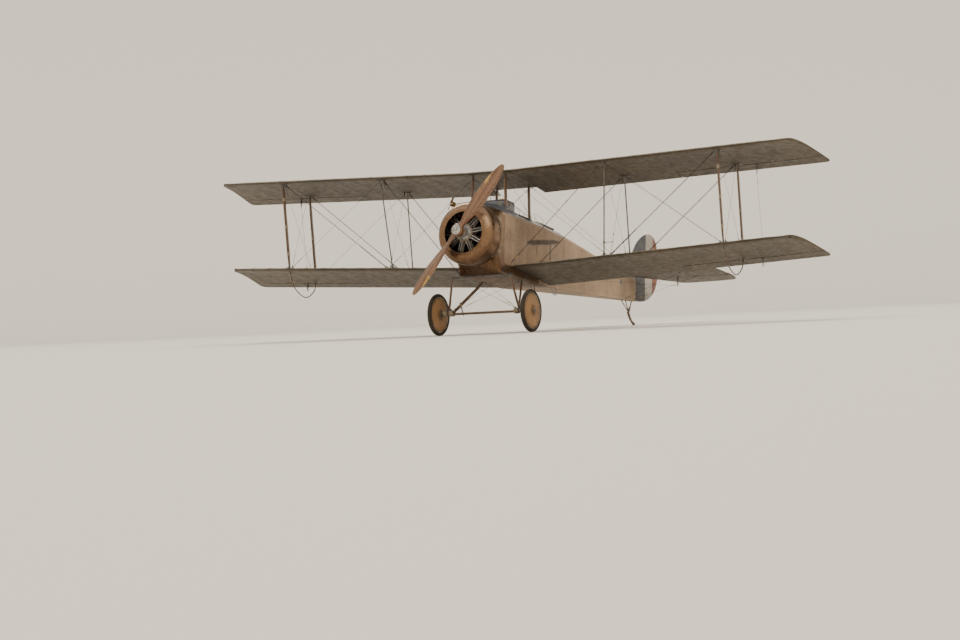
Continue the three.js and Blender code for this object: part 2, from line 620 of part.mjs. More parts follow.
// The body below the decking's outer surface, to trim what stands on it.
function deckBlock() {
  const stations = [NOSE_BACK, 1000, 1500, 1640, TAPER_START];
  return loft(stations.map((y) => {
    const frame = frameAt(y);
    return [[-frame.half, 0], [frame.half, 0], ...arch(frame, 0, 2 * GAP)].map(([x, z]) => [x, y, z]);
  }), 'y');
}

add('tailplane', cutBack(tailplane(), [[made.rear_fuselage, 0, 0, GAP]]), 'fabric');
for (const [name, side] of SIDES) add(`elevator_${name}`, elevator(side), 'fabric');
add('rudder', rudder(), 'stripe');

add('axle', axle(), 'steel');
add('gear_cross_tube', crossTube(), 'steel');
for (const [name, side] of SIDES) {
  const hub = [APEX_X * side, AXLE.y - 8, AXLE.z];
  const front = strut(hub, [530 * side, CROSS.y, CROSS.z], 62, 30);
  add(`gear_front_leg_${name}`, cutBack(front, [[axle(4 * GAP)], [crossTube(4 * GAP)]]), 'wood');
  const rear = strut([(APEX_X - 36) * side, AXLE.y + 24, AXLE.z], [358 * side, 1620, KEEL + 12], 62, 30);
  add(`gear_rear_leg_${name}`, cutBack(rear, [[axle(4 * GAP)], [box(-HALF_WIDTH, HALF_WIDTH, 1400, 1900, KEEL - GAP, 0)]]), 'wood');
  add(`tyre_${name}`, tyre(side), 'rubber');
  add(`wheel_disc_${name}`, wheelDisc(side), 'disc');
  add(`tip_hoop_${name}`, cutBack(tipHoop(side), [[made[`lower_wing_${name}`], 0, 0, -GAP]]), 'wood');
}
add('tail_skid_frame', cutBack(skidFrame(), [[made.rear_fuselage, 0, 0, -GAP]]), 'steel');
add('tail_skid', cutBack(tailSkid(), [[new THREE.SphereGeometry(25 + GAP, 16, 10).translate(0, APEX.y, APEX.z)]]), 'wood');

// Parked attitude: nose up, standing on the floor, centred front to back.
airframe.rotation.x = -GROUND_ANGLE;
airframe.updateMatrixWorld(true);
const bounds = new THREE.Box3().setFromObject(airframe, true);
airframe.position.set(0, -(bounds.min.y + bounds.max.y) / 2, -bounds.min.z);

const biplane = new THREE.Group();
biplane.add(airframe);

export default biplane;
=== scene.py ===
"""Two-seat biplane with a rotary engine: its looks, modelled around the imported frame.

Pieces are modelled in metres in the airframe's own axes, x to port, y aft from the propeller and z up from
the thrust line, and AIRFRAME then puts them in the parked, nose-up attitude of the frame.
"""

import json
import math
from math import cos, pi, radians, sin

import bmesh
import bpy
from bpy.props import FloatProperty, FloatVectorProperty, PointerProperty
from bpy.types import Operator, Panel, PropertyGroup
from mathutils import Matrix, Vector
from mathutils.bvhtree import BVHTree


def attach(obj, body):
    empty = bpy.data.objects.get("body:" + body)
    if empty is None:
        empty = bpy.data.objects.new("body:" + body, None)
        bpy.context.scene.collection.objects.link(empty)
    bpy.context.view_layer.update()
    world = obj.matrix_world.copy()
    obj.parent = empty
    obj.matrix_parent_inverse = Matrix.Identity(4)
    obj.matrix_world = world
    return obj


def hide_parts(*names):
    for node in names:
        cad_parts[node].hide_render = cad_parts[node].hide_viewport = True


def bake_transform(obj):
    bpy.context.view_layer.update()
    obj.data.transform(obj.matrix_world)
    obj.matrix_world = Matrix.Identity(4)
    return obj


bl_info = {
    "name": "Two-seat Biplane",
    "version": (1, 0, 0),
    "blender": (4, 5, 0),
    "location": "View3D > Sidebar > Biplane",
    "description": "Covers, engine, rigging, cockpits and finishes of a parked two-seat biplane",
    "category": "Add Mesh",
}

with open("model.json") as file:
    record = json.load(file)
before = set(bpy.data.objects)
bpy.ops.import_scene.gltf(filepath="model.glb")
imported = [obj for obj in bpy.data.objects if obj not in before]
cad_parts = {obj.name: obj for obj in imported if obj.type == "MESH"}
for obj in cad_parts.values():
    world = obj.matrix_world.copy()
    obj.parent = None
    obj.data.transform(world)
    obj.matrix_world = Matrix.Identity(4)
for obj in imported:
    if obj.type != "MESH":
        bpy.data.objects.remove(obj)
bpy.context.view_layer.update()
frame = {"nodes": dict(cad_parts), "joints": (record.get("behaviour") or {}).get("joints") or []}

# The airframe's own axes, from the propeller shaft
SHAFT = next(joint for joint in frame["joints"] if joint["name"] == "propeller_spin")
PORTWARD, UP = Vector((1, 0, 0)), Vector((0, 0, 1))
AFT = -Vector(SHAFT["axis"]).normalized()
AIRFRAME = (Matrix.Translation(SHAFT["pos_m"])
            @ Matrix((PORTWARD, AFT, PORTWARD.cross(AFT))).transposed().to_4x4())
TO_AIRFRAME = AIRFRAME.inverted()

SIDES = (("port", 1), ("starboard", -1))
SIGNS = (1, -1)
MM = 0.001


# Places read from the frame

def node_points(node):
    return [TO_AIRFRAME @ v.co for v in frame["nodes"][node].data.vertices]


def corners(node):
    """Lowest and highest corner of a CAD node in the airframe's axes."""
    points = node_points(node)
    return [Vector(pick(p[k] for p in points) for k in range(3)) for pick in (min, max)]


def strut_ends(node):
    """Middles of the lower and the upper end of a CAD strut."""
    points, ends = node_points(node), []
    for pick in (min, max):
        level = pick(p.z for p in points)
        near = [p for p in points if abs(p.z - level) < 20 * MM]
        ends.append(sum(near, Vector()) / len(near))
    return ends


def joint_place(name):
    joint = next(j for j in frame["joints"] if j["name"] == name)
    return TO_AIRFRAME @ Vector(joint["pos_m"])


SHAPES = {}


def surface(node, x, y, top=True):
    """Height of a CAD node's upper or lower face at x and y, in the airframe's axes."""
    if node not in SHAPES:
        faces = [p.vertices for p in frame["nodes"][node].data.polygons]
        SHAPES[node] = BVHTree.FromPolygons(node_points(node), faces)
    reach = 3 if top else -3
    place = SHAPES[node].ray_cast(Vector((x, y, reach)), Vector((0, 0, -reach)))[0]
    if place is None:
        raise RuntimeError(f"{node} has no face at {x:.3f}, {y:.3f}")
    return place.z


# Outlines and paths

def spread(low, high, count):
    """Numbers at even steps from low to high."""
    return [low + (high - low) * i / (count - 1) for i in range(count)]


def mm(*points):
    """Points given in millimetres."""
    return [tuple(MM * c for c in point) for point in points]


def arc(centre, radius, start, end, steps):
    """Points of an arc in a plane, with angles in degrees."""
    angles = [radians(start + (end - start) * i / steps) for i in range(steps + 1)]
    return [(centre[0] + radius * cos(a), centre[1] + radius * sin(a)) for a in angles]


def circle(radius, sides=8):
    """Section of a round bar."""
    return arc((0, 0), radius, 0, 360, sides)[:-1]


def streamline(chord, thick, sides=20):
    """Section of a strut: blunt at the front, which is minus on the second axis, and fine at the back."""
    return [(thick / 2 * y * (1 - 0.35 * x), chord / 2 * x) for x, y in circle(1, sides)]


def flat(thick, wide):
    """Section of a strap."""
    t, w = thick / 2, wide / 2
    return [(t, -w), (t, w), (-t, w), (-t, -w)]


def smooth_path(points, steps=6, loop=False):
    """Curve through the points with the same number of steps between each two."""
    points = [Vector(p) for p in points]
    count = len(points)
    path = []
    for i in range(count if loop else count - 1):
        near = [k % count if loop else min(max(k, 0), count - 1) for k in range(i - 1, i + 3)]
        p0, p1, p2, p3 = (points[k] for k in near)
        for t in (s / steps for s in range(steps)):
            path.append(0.5 * (2 * p1 + (p2 - p0) * t + (2 * p0 - 5 * p1 + 4 * p2 - p3) * t * t
                               + (3 * p1 - p0 - 3 * p2 + p3) * t ** 3))
    return path if loop else path + points[-1:]


# Places

def at(x, y, z, towards=None, side=None):
    """A place at a point, with its third axis towards a direction."""
    if towards is None:
        return Matrix.Translation((x, y, z))
    ahead = Vector(towards).normalized()
    side = Vector(side or (PORTWARD if abs(ahead.x) < 0.8 else (0, 1, 0)))
    across = (side - ahead * side.dot(ahead)).normalized()
    return Matrix.Translation((x, y, z)) @ Matrix((across, ahead.cross(across), ahead)).transposed().to_4x4()


def moved(x, y=0, z=0):
    return Matrix.Translation((x, y, z))


def rotated(degrees, axis="Z"):
    return Matrix.Rotation(radians(degrees), 4, axis)


def sized(place, x, y=None):
    """The place with its section made bigger or smaller."""
    return place @ Matrix.Diagonal((x, x if y is None else y, 1, 1))


def places_along(path, side=None, loop=False):
    """A place for a section at each point of a path: its third axis runs along the path."""
    path = [Vector(p) for p in path]
    last = len(path) - 1
    places, across = [], side
    for i, point in enumerate(path):
        ahead, behind = (i + 1) % (last + 1) if loop else min(i + 1, last), i - 1 if loop else max(i - 1, 0)
        heading = (path[ahead] - path[behind]).normalized()
        if across is None:
            across = PORTWARD if abs(heading.x) < 0.8 else UP
        places.append(at(*point, heading, across))
        across = places[-1].col[0].xyz
    return places


def hoop(radius, count, place):
    """Points round a place."""
    return [place @ Vector((*spot, 0)) for spot in circle(radius, count)]


# Modelling tools: those named for a shape give a bmesh

def fresh(made):
    """The vertices among what an operator made."""
    return [g for g in made["geom"] if isinstance(g, bmesh.types.BMVert)]


def outline_edges(bm, points):
    verts = [bm.verts.new(point) for point in points]
    return [bm.edges.new((verts[i - 1], verts[i])) for i in range(len(verts))]


def swept(section, places, loop=False):
    """Extrudes a closed section through the places."""
    bm = bmesh.new()
    edges = first = outline_edges(bm, [places[0] @ Vector((*spot, 0)) for spot in section])
    for last, place in zip(places, places[1:] + places[:1] if loop else places[1:]):
        made = bmesh.ops.extrude_edge_only(bm, edges=edges)
        ends = fresh(made)
        edges = [g for g in made["geom"] if isinstance(g, bmesh.types.BMEdge) and set(g.verts) <= set(ends)]
        bmesh.ops.transform(bm, matrix=place @ last.inverted(), verts=ends)
    if loop:
        bmesh.ops.remove_doubles(bm, verts=bm.verts, dist=2e-5)
    else:
        for end in (first, edges):
            bmesh.ops.contextual_create(bm, geom=end)
    return bm


def rod(points, radius, sides=8):
    """Round bar through the points."""
    return swept(circle(radius, sides), places_along(points))


def ring(points, radius, sides=8, side=None):
    """Round bar closed on itself."""
    return swept(circle(radius, sides), places_along(points, side, loop=True), loop=True)


def turned(profile, steps=48):
    """Spins an outline of (radius, height) about Z. It ends on the axis or else closes on itself."""
    bm = bmesh.new()
    verts = [bm.verts.new((radius, 0, height)) for radius, height in profile]
    edges = [bm.edges.new(pair) for pair in zip(verts, verts[1:])]
    if min(profile[0][0], profile[-1][0]) > 1e-6:
        edges.append(bm.edges.new((verts[-1], verts[0])))
    bmesh.ops.spin(bm, geom=verts + edges, axis=(0, 0, 1), cent=(0, 0, 0), angle=2 * pi, steps=steps,
                   use_merge=True)
    bmesh.ops.remove_doubles(bm, verts=bm.verts, dist=1e-6)
    return bm


def lofted(rings):
    """Skin through closed rings of points, the last joined to the first."""
    bm = bmesh.new()
    loops = [outline_edges(bm, points) for points in rings]
    for one, other in zip(loops, loops[1:] + loops[:1]):
        bmesh.ops.bridge_loops(bm, edges=one + other)
    return bm


def pin(radius, half, sides=10):
    """Bolt or barrel with worn ends, centred."""
    ends = [(0, half), (radius * 0.75, half * 0.95), (radius, half * 0.8)]
    return turned(ends + [(r, -z) for r, z in ends[::-1]], sides)


def stud(radius, height, sides=6):
    """Nut, bolt head or rivet head standing at its place."""
    return turned([(0, height), (radius * 0.76, height), (radius, height * 0.64), (radius, 0), (0, 0)], sides)


def screw_head(radius):
    top = [(0, radius * 0.55), (radius * 0.6, radius * 0.45)]
    return turned(top + [(radius, 0), (radius, -MM), (0, -MM)], 10)


def rounded(bm, edges, offset, segments=2):
    bmesh.ops.bevel(bm, geom=edges, offset=offset, affect="EDGES", segments=segments, profile=0.5,
                    material=-1, clamp_overlap=True)


def sharp(bm, angle):
    return [e for e in bm.edges if e.is_manifold and e.calc_face_angle(0) > angle]


def block(x, y, z, bevel=0.002, segments=2):
    """Box with rounded edges, centred."""
    bm = bmesh.new()
    bmesh.ops.create_cube(bm, size=1)
    bmesh.ops.scale(bm, vec=(x, y, z), verts=bm.verts)
    if bevel:
        rounded(bm, bm.edges, bevel, segments)
    return bm


def thicken(bm, face, shift):
    bmesh.ops.translate(bm, vec=shift, verts=fresh(bmesh.ops.extrude_face_region(bm, geom=[face])))


def plate(outline, thick, bevel=0.0, foot=0.0):
    """Flat plate of an (x, y) outline, standing on its foot."""
    bm = bmesh.new()
    face = bm.faces.new([bm.verts.new((x, y, foot)) for x, y in outline])
    thicken(bm, face, (0, 0, thick))
    if bevel:
        rounded(bm, sharp(bm, 0.9), bevel, 1)
    return bm


def sizes():
    return bpy.context.scene.biplane_sizes


class Piece:
    """One finished piece in the making: parts are added to it, each with one of its finishes by number."""

    def __init__(self, name, *finishes):
        self.name = name
        self.finishes = finishes
        self.bm = bmesh.new()

    def add(self, part, places=None, finish=0, outward=True):
        """Adds a part at each place, or once where it is, and uses it up."""
        if finish is not None:
            for face in part.faces:
                face.material_index = finish
        if outward:
            bmesh.ops.recalc_face_normals(part, faces=part.faces)
        mesh = bpy.data.meshes.new("part")
        part.to_mesh(mesh)
        part.free()
        for place in [places] if isinstance(places, Matrix) else places or [Matrix()]:
            first_vert, first_face = len(self.bm.verts), len(self.bm.faces)
            self.bm.from_mesh(mesh)
            self.bm.verts.ensure_lookup_table()
            bmesh.ops.transform(self.bm, matrix=place, verts=self.bm.verts[first_vert:])
            if place.determinant() < 0:
                self.bm.faces.ensure_lookup_table()
                bmesh.ops.reverse_faces(self.bm, faces=self.bm.faces[first_face:])
        bpy.data.meshes.remove(mesh)

    def bar(self, points, radius, sides=8, finish=0, places=None):
        self.add(rod(points, radius, sides), places, finish)

    def box(self, x, y, z, bevel, places, finish=0):
        self.add(block(x, y, z, bevel), places, finish)

    def screws(self, radius, places, finish=1):
        self.add(screw_head(radius), places, finish)

    def strap(self, path, thick, wide, finish=0, side=None):
        """Adds a flat strip along a path, its width along the side where it is given."""
        self.add(swept(flat(thick, wide), places_along(path, side)), finish=finish)

    def spun(self, profile, steps, places, finish=0):
        """Adds a turned part whose outline is in millimetres."""
        self.add(turned(mm(*profile), steps), places, finish)

    def done(self, body="airframe", slot=None, replaces=(), crease=32):
        """Makes the object in the frame's axes; edges sharper than crease degrees stay crisp."""
        for edge in self.bm.edges:
            edge.smooth = edge.calc_face_angle(0) < radians(crease)
        for face in self.bm.faces:
            face.smooth = True
        bmesh.ops.transform(self.bm, matrix=AIRFRAME, verts=self.bm.verts)
        made = new_object(self.name, self.bm, [look(finish) for finish in self.finishes])
        if body:
            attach(made, body)
        if replaces:
            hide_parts(*replaces)
        return made


def new_object(name, bm, materials):
    mesh = bpy.data.meshes.new(name)
    bm.to_mesh(mesh)
    bm.free()
    for material in materials:
        mesh.materials.append(material)
    made = bpy.data.objects.new(name, mesh)
    bpy.context.scene.collection.objects.link(made)
    return made


def node_copy(node):
    """A merged copy of a CAD node in the airframe's axes."""
    bm = bmesh.new()
    bm.from_mesh(frame["nodes"][node].data)
    bmesh.ops.remove_doubles(bm, verts=bm.verts, dist=1e-5)
    bmesh.ops.transform(bm, matrix=TO_AIRFRAME, verts=bm.verts)
    bmesh.ops.dissolve_limit(bm, angle_limit=0.002, verts=bm.verts, edges=bm.edges)
    return bm


def cut(bm, place, normal, clear=False):
    """Cuts every face at a plane, and takes away what lies beyond it if clear."""
    bmesh.ops.bisect_plane(bm, geom=bm.verts[:] + bm.edges[:] + bm.faces[:], dist=1e-6,
                           plane_co=place, plane_no=normal, clear_outer=clear)


def sliced(bm, places, axis):
    """Cuts every face at each place along an axis."""
    normal = Vector(k == axis for k in range(3))
    for place in places:
        cut(bm, normal * place, normal)


# Finishes

class Finish:
    """A node material around one Principled shader, with patterns laid in the airframe's own axes."""

    def __init__(self, name, **sockets):
        self.material = bpy.data.materials.new(name)
        self.material.use_nodes = True
        self.nodes = self.material.node_tree.nodes
        self.links = self.material.node_tree.links
        self.shader = self.nodes["Principled BSDF"]
        self.split = None
        # place on the piece in the airframe's axes, in metres
        self.axes = self.node("Mapping", Vector=self.node("TexCoord").outputs["Object"],
                              Location=TO_AIRFRAME.translation,
                              Rotation=TO_AIRFRAME.to_euler()).outputs["Vector"]
        self.set(**sockets)

    def put(self, socket, value):
        """Links a socket to a node's output, or sets its own value."""
        if isinstance(value, bpy.types.NodeSocket):
            self.links.new(value, socket)
        elif hasattr(value, "__len__") and socket.type == "RGBA" and len(value) == 3:
            socket.default_value = (*value, 1)
        else:
            socket.default_value = value

    def set(self, **sockets):
        for name, value in sockets.items():
            self.put(self.shader.inputs[name.replace("_", " ")], value)
        return self

    def node(self, kind, settings=None, **sockets):
        made = self.nodes.new("ShaderNode" + kind)
        for name, value in (settings or {}).items():
            setattr(made, name, value)
        for name, value in sockets.items():
            self.put(made.inputs[name.replace("_", " ")], value)
        return made

    def stretched(self, scale, turn=(0, 0, 0)):
        """The airframe's axes turned back by turn, then each multiplied by its scale."""
        return self.node("Mapping", {"vector_type": "TEXTURE"}, Vector=self.axes, Rotation=turn,
                         Scale=[1 / s for s in scale]).outputs["Vector"]

    def along(self, name):
        """One axis, X, Y or Z."""
        self.split = self.split or self.node("SeparateXYZ", Vector=self.axes)
        return self.split.outputs[name]

    def noise(self, scale, detail=4, stretch=None, rough=0.5):
        vector = self.stretched(stretch) if stretch else self.axes
        made = self.node("TexNoise", Vector=vector, Scale=scale, Detail=detail, Roughness=rough)
        return made.outputs["Fac"]

    def math(self, operation, *values):
        made = self.node("Math", {"operation": operation})
        for socket, value in zip(made.inputs, values):
            self.put(socket, value)
        return made.outputs[0]

    def times(self, a, b):
        return self.math("MULTIPLY", a, b)

    def wobble(self, noise, reach):
        """A noise turned into a shift to either side."""
        return self.times(self.math("SUBTRACT", noise, 0.5), reach)

    def between(self, value, low, high, to_low=0.0, to_high=1.0):
        """Eases a value from one level to another as it runs from low to high."""
        made = self.node("MapRange", {"interpolation_type": "SMOOTHSTEP"}, Value=value)
        for name, level in (("From Min", low), ("From Max", high), ("To Min", to_low), ("To Max", to_high)):
            self.put(made.inputs[name], level)
        return made.outputs["Result"]

    def band(self, value, centre, half, edge):
        """1 within half of the centre, fading to 0 over the edge."""
        away = self.math("ABSOLUTE", self.math("SUBTRACT", value, centre))
        return self.between(away, half, half + edge, 1.0, 0.0)

    def mix(self, a, b, factor):
        made = self.node("Mix", {"data_type": "RGBA"})
        for socket, value in zip((0, 6, 7), (factor, a, b)):
            self.put(made.inputs[socket], value)
        return made.outputs[2]

    def over(self, tone, cover, value, low, high, share=1.0):
        """A tone, covered by another as a value runs from low to high."""
        return self.mix(tone, cover, self.between(value, low, high, 0.0, share))

    def tone(self):
        """What now colours the shader."""
        return self.shader.inputs["Base Color"].links[0].from_socket

    def weave(self, thread):
        """Height of a plain weave with threads that far apart, in metres."""
        x, y, z = (self.node("TexWave", {"bands_direction": axis}, Vector=self.axes,
                             Scale=pi / (10 * thread)).outputs["Fac"] for axis in "XYZ")
        return self.math("ADD", self.math("ADD", x, y), z)

    def bump(self, height, strength, distance, after=None):
        """Bump over the base normal, or over another bump."""
        made = self.node("Bump", Height=height, Strength=strength, Distance=distance)
        if after:
            self.links.new(after, made.inputs["Normal"])
        return made.outputs["Normal"]


def shade(colour, factor):
    return tuple(min(1.0, c * factor) for c in colour)


def palette():
    return bpy.context.scene.biplane_finishes


LOOKS = {}


def look(name):
    """The finish of that name, made when it is first asked for."""
    if name not in LOOKS:
        LOOKS[name] = (metal(name, *METALS[name]) if name in METALS else MAKERS[name](name)).material
    return LOOKS[name]


RIB_GAP, RIB_START = 0.36, 0.45        # between ribs, and from the middle line to the first, in metres
WEAVE = 0.0011


def doped_linen(name, colour, dirt_and_rib_shade, rib_start=None, gloss=0.55, streak=0.3):
    """Doped linen: mottled and grimy, streaked fore and aft, with painted shade beside the ribs and its
    weave.
    """
    f = Finish(name, Specular_IOR_Level=0.35, Sheen_Weight=0.05, Sheen_Roughness=0.5)
    cloud, fine = f.noise(1.3, 5), f.noise(11, 6, rough=0.62)
    dirt_and_rib_shade = shade(colour, dirt_and_rib_shade)
    tone = f.over(shade(colour, 0.78), shade(colour, 1.2), cloud, 0.32, 0.68)
    tone = f.over(tone, dirt_and_rib_shade, fine, 0.52, 0.8, 0.4)
    tone = f.over(tone, dirt_and_rib_shade, f.noise(3, 5, (9, 0.5, 9)), 0.5, 0.78, streak)
    # painted shade beside the ribs: where rib_start is given, the cloth is darkened within about 5 cm of each
    # rib
    if rib_start is not None:
        off = f.math("PINGPONG", f.math("SUBTRACT", f.math("ABSOLUTE", f.along("X")), rib_start), RIB_GAP / 2)
        tone = f.mix(tone, dirt_and_rib_shade, f.between(off, 0.02, 0.055, 0.42, 0.0))
    relief = f.bump(cloud, 0.12, 0.01, f.bump(f.weave(WEAVE), 0.25, 0.0002))
    rough = f.between(fine, 0.3, 0.75, gloss - 0.1, gloss + 0.14)
    return f.set(Base_Color=tone, Roughness=rough, Normal=relief)


def wing_tape(name):
    """Tape over the ribs, with the lumps of the stitching under it."""
    f = doped_linen(name, shade(palette().wing_dope, 1.2), 0.42)
    lump = f.between(f.math("PINGPONG", f.along("Y"), 0.032), 0.0, 0.005, 1.0, 0.0)
    return f.set(Normal=f.bump(lump, 0.6, 0.002, f.shader.inputs["Normal"].links[0].from_socket))


SMEAR_DARK, SOOT_OIL_AND_SHADE = (0.035, 0.02, 0.011), (0.06, 0.034, 0.018)
SMEAR = {                              # dark smear that rises aft over the port side, with its drips
    "front": 1.675, "back": 3.13, "height": 0.053, "rise": 0.17, "wide": 0.048,
    "drips": ((2.113, 0.1, -0.072, 0.004), (2.668, 0.19, -0.11, 0.022)),   # place, top, foot and half width
}


def oily(f):
    """Adds dark marks to the body's cloth: a smear with drips on the port side, soot near the nose, and a
    belly darkened partly by oil and partly by painted shade under the fuselage.
    """
    x, y, z = (f.along(axis) for axis in "XYZ")
    wobble = f.wobble(f.noise(3, 3, (1, 0.7, 1)), 0.05)
    low = f.math("MULTIPLY_ADD", f.math("ADD", y, -SMEAR["front"]), SMEAR["rise"], SMEAR["height"])
    off = f.math("ABSOLUTE", f.math("ADD", f.math("SUBTRACT", z, low), wobble))
    middle, half = (SMEAR["front"] + SMEAR["back"]) / 2, (SMEAR["back"] - SMEAR["front"]) / 2
    wide = f.times(f.band(y, middle, half * 0.5, half * 0.75), SMEAR["wide"])
    smear_mask = f.times(f.between(f.math("SUBTRACT", off, wide), -0.022, 0.008, 1.0, 0.0),
                    f.band(y, middle, half - 0.12, 0.16))
    for place, top, foot, thick in SMEAR["drips"]:
        drip = f.times(f.band(f.math("ADD", y, wobble), place, thick, 0.018),
                       f.band(z, (top + foot) / 2, (top - foot) / 2 - 0.03, 0.07))
        smear_mask = f.math("MAXIMUM", smear_mask, f.times(drip, 0.8))
    tone = f.mix(f.tone(), SMEAR_DARK, f.times(smear_mask, f.between(x, 0.15, 0.25, 0.0, 0.92)))
    soot = f.times(f.between(y, 0.8, 2.4, 0.4, 0.0), f.between(f.noise(2.2, 6, (1, 0.35, 1.6)), 0.4, 0.7))
    # partly oil, partly painted shade: the lowest band of the sides and the belly darken along the whole
    # body, most towards the nose
    belly = f.times(f.between(z, -0.63, -0.5, 0.85, 0.0), f.between(y, 1.6, 5.4, 1.0, 0.35))
    belly = f.times(belly, f.between(f.noise(4, 5, (1, 0.25, 1)), 0.2, 0.6, 0.6, 1.0))
    return f.set(Base_Color=f.mix(tone, SOOT_OIL_AND_SHADE, f.math("MAXIMUM", soot, belly)))


STRIPES = (7.5, 7.83)                  # where the rudder's paint changes, aft of the propeller


def rudder_linen(name):
    """Three upright stripes: blue-grey, pale and red-brown."""
    f = doped_linen(name, palette().rudder_pale, 0.4)
    y = f.math("ADD", f.along("Y"), f.wobble(f.noise(30, 3), 0.004))
    blotch = f.between(f.noise(5, 6), 0.3, 0.7)
    blue, red = palette().rudder_blue, palette().rudder_red
    blue = f.mix(shade(blue, 0.8), shade(blue, 1.35), blotch)
    red = f.mix(shade(red, 0.75), shade(red, 1.3), blotch)
    tone = f.over(blue, f.tone(), y, STRIPES[0] - MM, STRIPES[0] + MM)
    return f.set(Base_Color=f.over(tone, red, y, STRIPES[1] - MM, STRIPES[1] + MM))


def cowl_metal(name):
    """Burnished sheet under a brown film of burnt oil, thicker below and behind the mouth."""
    f = Finish(name, Metallic=0.9, Specular_IOR_Level=0.5)
    sheet = palette().cowl
    swirl, patch = f.noise(60, 4, (0.3, 6, 0.3)), f.noise(2.6, 6, rough=0.6)
    drag = f.noise(5, 6, (2.5, 0.4, 2.5), 0.62)
    oil = f.math("ADD", f.between(f.along("Z"), -0.6, 0.35, 0.5, 0.2), f.between(drag, 0.3, 0.8, -0.05, 0.12))
    tone = f.mix(shade(sheet, 0.85), shade(sheet, 1.15), swirl)
    tone = f.over(tone, (0.085, 0.04, 0.017), oil, 0.05, 0.75, 0.9)
    tone = f.over(tone, shade(sheet, 0.72), patch, 0.35, 0.9, 0.3)
    rough = f.math("ADD", f.between(drag, 0.35, 0.75, 0.24, 0.42), f.between(swirl, 0.3, 0.7, -0.03, 0.05))
    relief = f.bump(f.noise(4.5, 3), 0.2, 0.012, f.bump(swirl, 0.15, 0.0006))
    return f.set(Base_Color=tone, Roughness=rough, Normal=relief)


def decking_metal(name):
    """Grey-blue painted sheet, worn to bare metal in scuffs."""
    f = Finish(name, Metallic=0.35, Specular_IOR_Level=0.5, Coat_Weight=0.25, Coat_Roughness=0.2)
    patch, scuff = f.noise(2.5, 6), f.noise(26, 8, (1, 0.4, 1), 0.7)
    paint = palette().decking
    tone = f.over(shade(paint, 0.82), shade(paint, 1.2), patch, 0.3, 0.7)
    tone = f.over(tone, (0.42, 0.42, 0.41), scuff, 0.66, 0.74, 0.7)
    tone = f.over(tone, (0.07, 0.055, 0.04), f.noise(4, 5, (7, 0.5, 7)), 0.5, 0.75, 0.5)
    return f.set(Base_Color=tone, Roughness=f.between(patch, 0.3, 0.75, 0.26, 0.46),
                 Normal=f.bump(f.noise(6, 3), 0.15, 0.01))


def wood(name, light, dark, stretch, turn=(0, 0, 0), coat=0.6, rings=22):
    """Varnished wood with its grain along the axis that stretch makes slow."""
    f = Finish(name, Specular_IOR_Level=0.5, Coat_Weight=coat, Coat_Roughness=0.14)
    place = f.stretched(stretch, turn)
    warp = f.node("TexNoise", Vector=place, Scale=3.0, Detail=3).outputs["Color"]
    bent = f.node("VectorMath", {"operation": "MULTIPLY_ADD"})
    for socket, value in zip(bent.inputs, (warp, (0.5, 0.5, 0.5), place)):
        f.put(socket, value)
    grain = f.node("TexWave", Vector=bent.outputs[0], Scale=rings, Distortion=3.5, Detail=3).outputs["Fac"]
    pores = f.node("TexNoise", Vector=place, Scale=90.0, Detail=4).outputs["Fac"]
    tone = f.over(dark, light, grain, 0.15, 0.9)
    tone = f.over(tone, shade(dark, 0.5), pores, 0.58, 0.74, 0.6)
    tone = f.over(tone, shade(dark, 0.42), f.noise(2.8, 5), 0.5, 0.78, 0.6)
    return f.set(Base_Color=tone, Roughness=f.between(grain, 0.0, 1.0, 0.3, 0.42),
                 Normal=f.bump(pores, 0.12, 0.0008))


PROPELLER_TURN = 232.0                 # blade angle in degrees, as packed
LAMINA = 0.018                         # thickness of the propeller's boards


def propeller_wood(name):
    """Boards glued flat across the shaft: their edges show as lines that follow the twist of the blades."""
    f = wood(name, (0.17, 0.072, 0.027), (0.08, 0.03, 0.012), (0.12, 2.2, 2.2),
             (0, -radians(PROPELLER_TURN), 0))
    board = f.math("FLOORED_MODULO", f.along("Y"), 2 * LAMINA)
    glue = f.math("PINGPONG", f.along("Y"), LAMINA / 2)
    pale = f.mix(f.tone(), (0.24, 0.12, 0.05), 0.5)
    tone = f.over(f.tone(), pale, board, LAMINA - 0.0004, LAMINA + 0.0004)
    tone = f.over(tone, (0.05, 0.02, 0.01), glue, LAMINA / 2 - 0.0005, LAMINA / 2, 0.7)
    return f.set(Base_Color=tone, Coat_Weight=0.9)


METALS = {                             # colour, roughness, grime and how metallic
    "steel": ((0.16, 0.155, 0.15), 0.42), "wire_steel": ((0.07, 0.064, 0.058), 0.42, 0.25, 0.7),
    "bright_steel": ((0.5, 0.49, 0.47), 0.26, 0.3), "engine_steel": ((0.13, 0.12, 0.11), 0.38, 0.6),
    "cast_alloy": ((0.3, 0.29, 0.27), 0.48, 0.6), "copper": ((0.5, 0.2, 0.1), 0.32, 0.5),
    "brass": ((0.52, 0.36, 0.14), 0.28, 0.35),
}


def metal(name, colour, roughness, grime=0.4, metallic=0.95):
    """Small metal fittings, oily and dull in patches."""
    f = Finish(name, Metallic=metallic)
    patch = f.noise(14, 6, rough=0.62)
    tone = f.over(shade(colour, 1.1), shade(colour, 0.6), patch, 0.35, 0.7)
    tone = f.over(tone, (0.04, 0.028, 0.018), f.noise(36.4, 5), 0.5, 0.75, grime)
    return f.set(Base_Color=tone, Roughness=f.between(patch, 0.3, 0.72, roughness - 0.08, roughness + 0.15),
                 Normal=f.bump(f.noise(220, 3), 0.1, 0.0004))


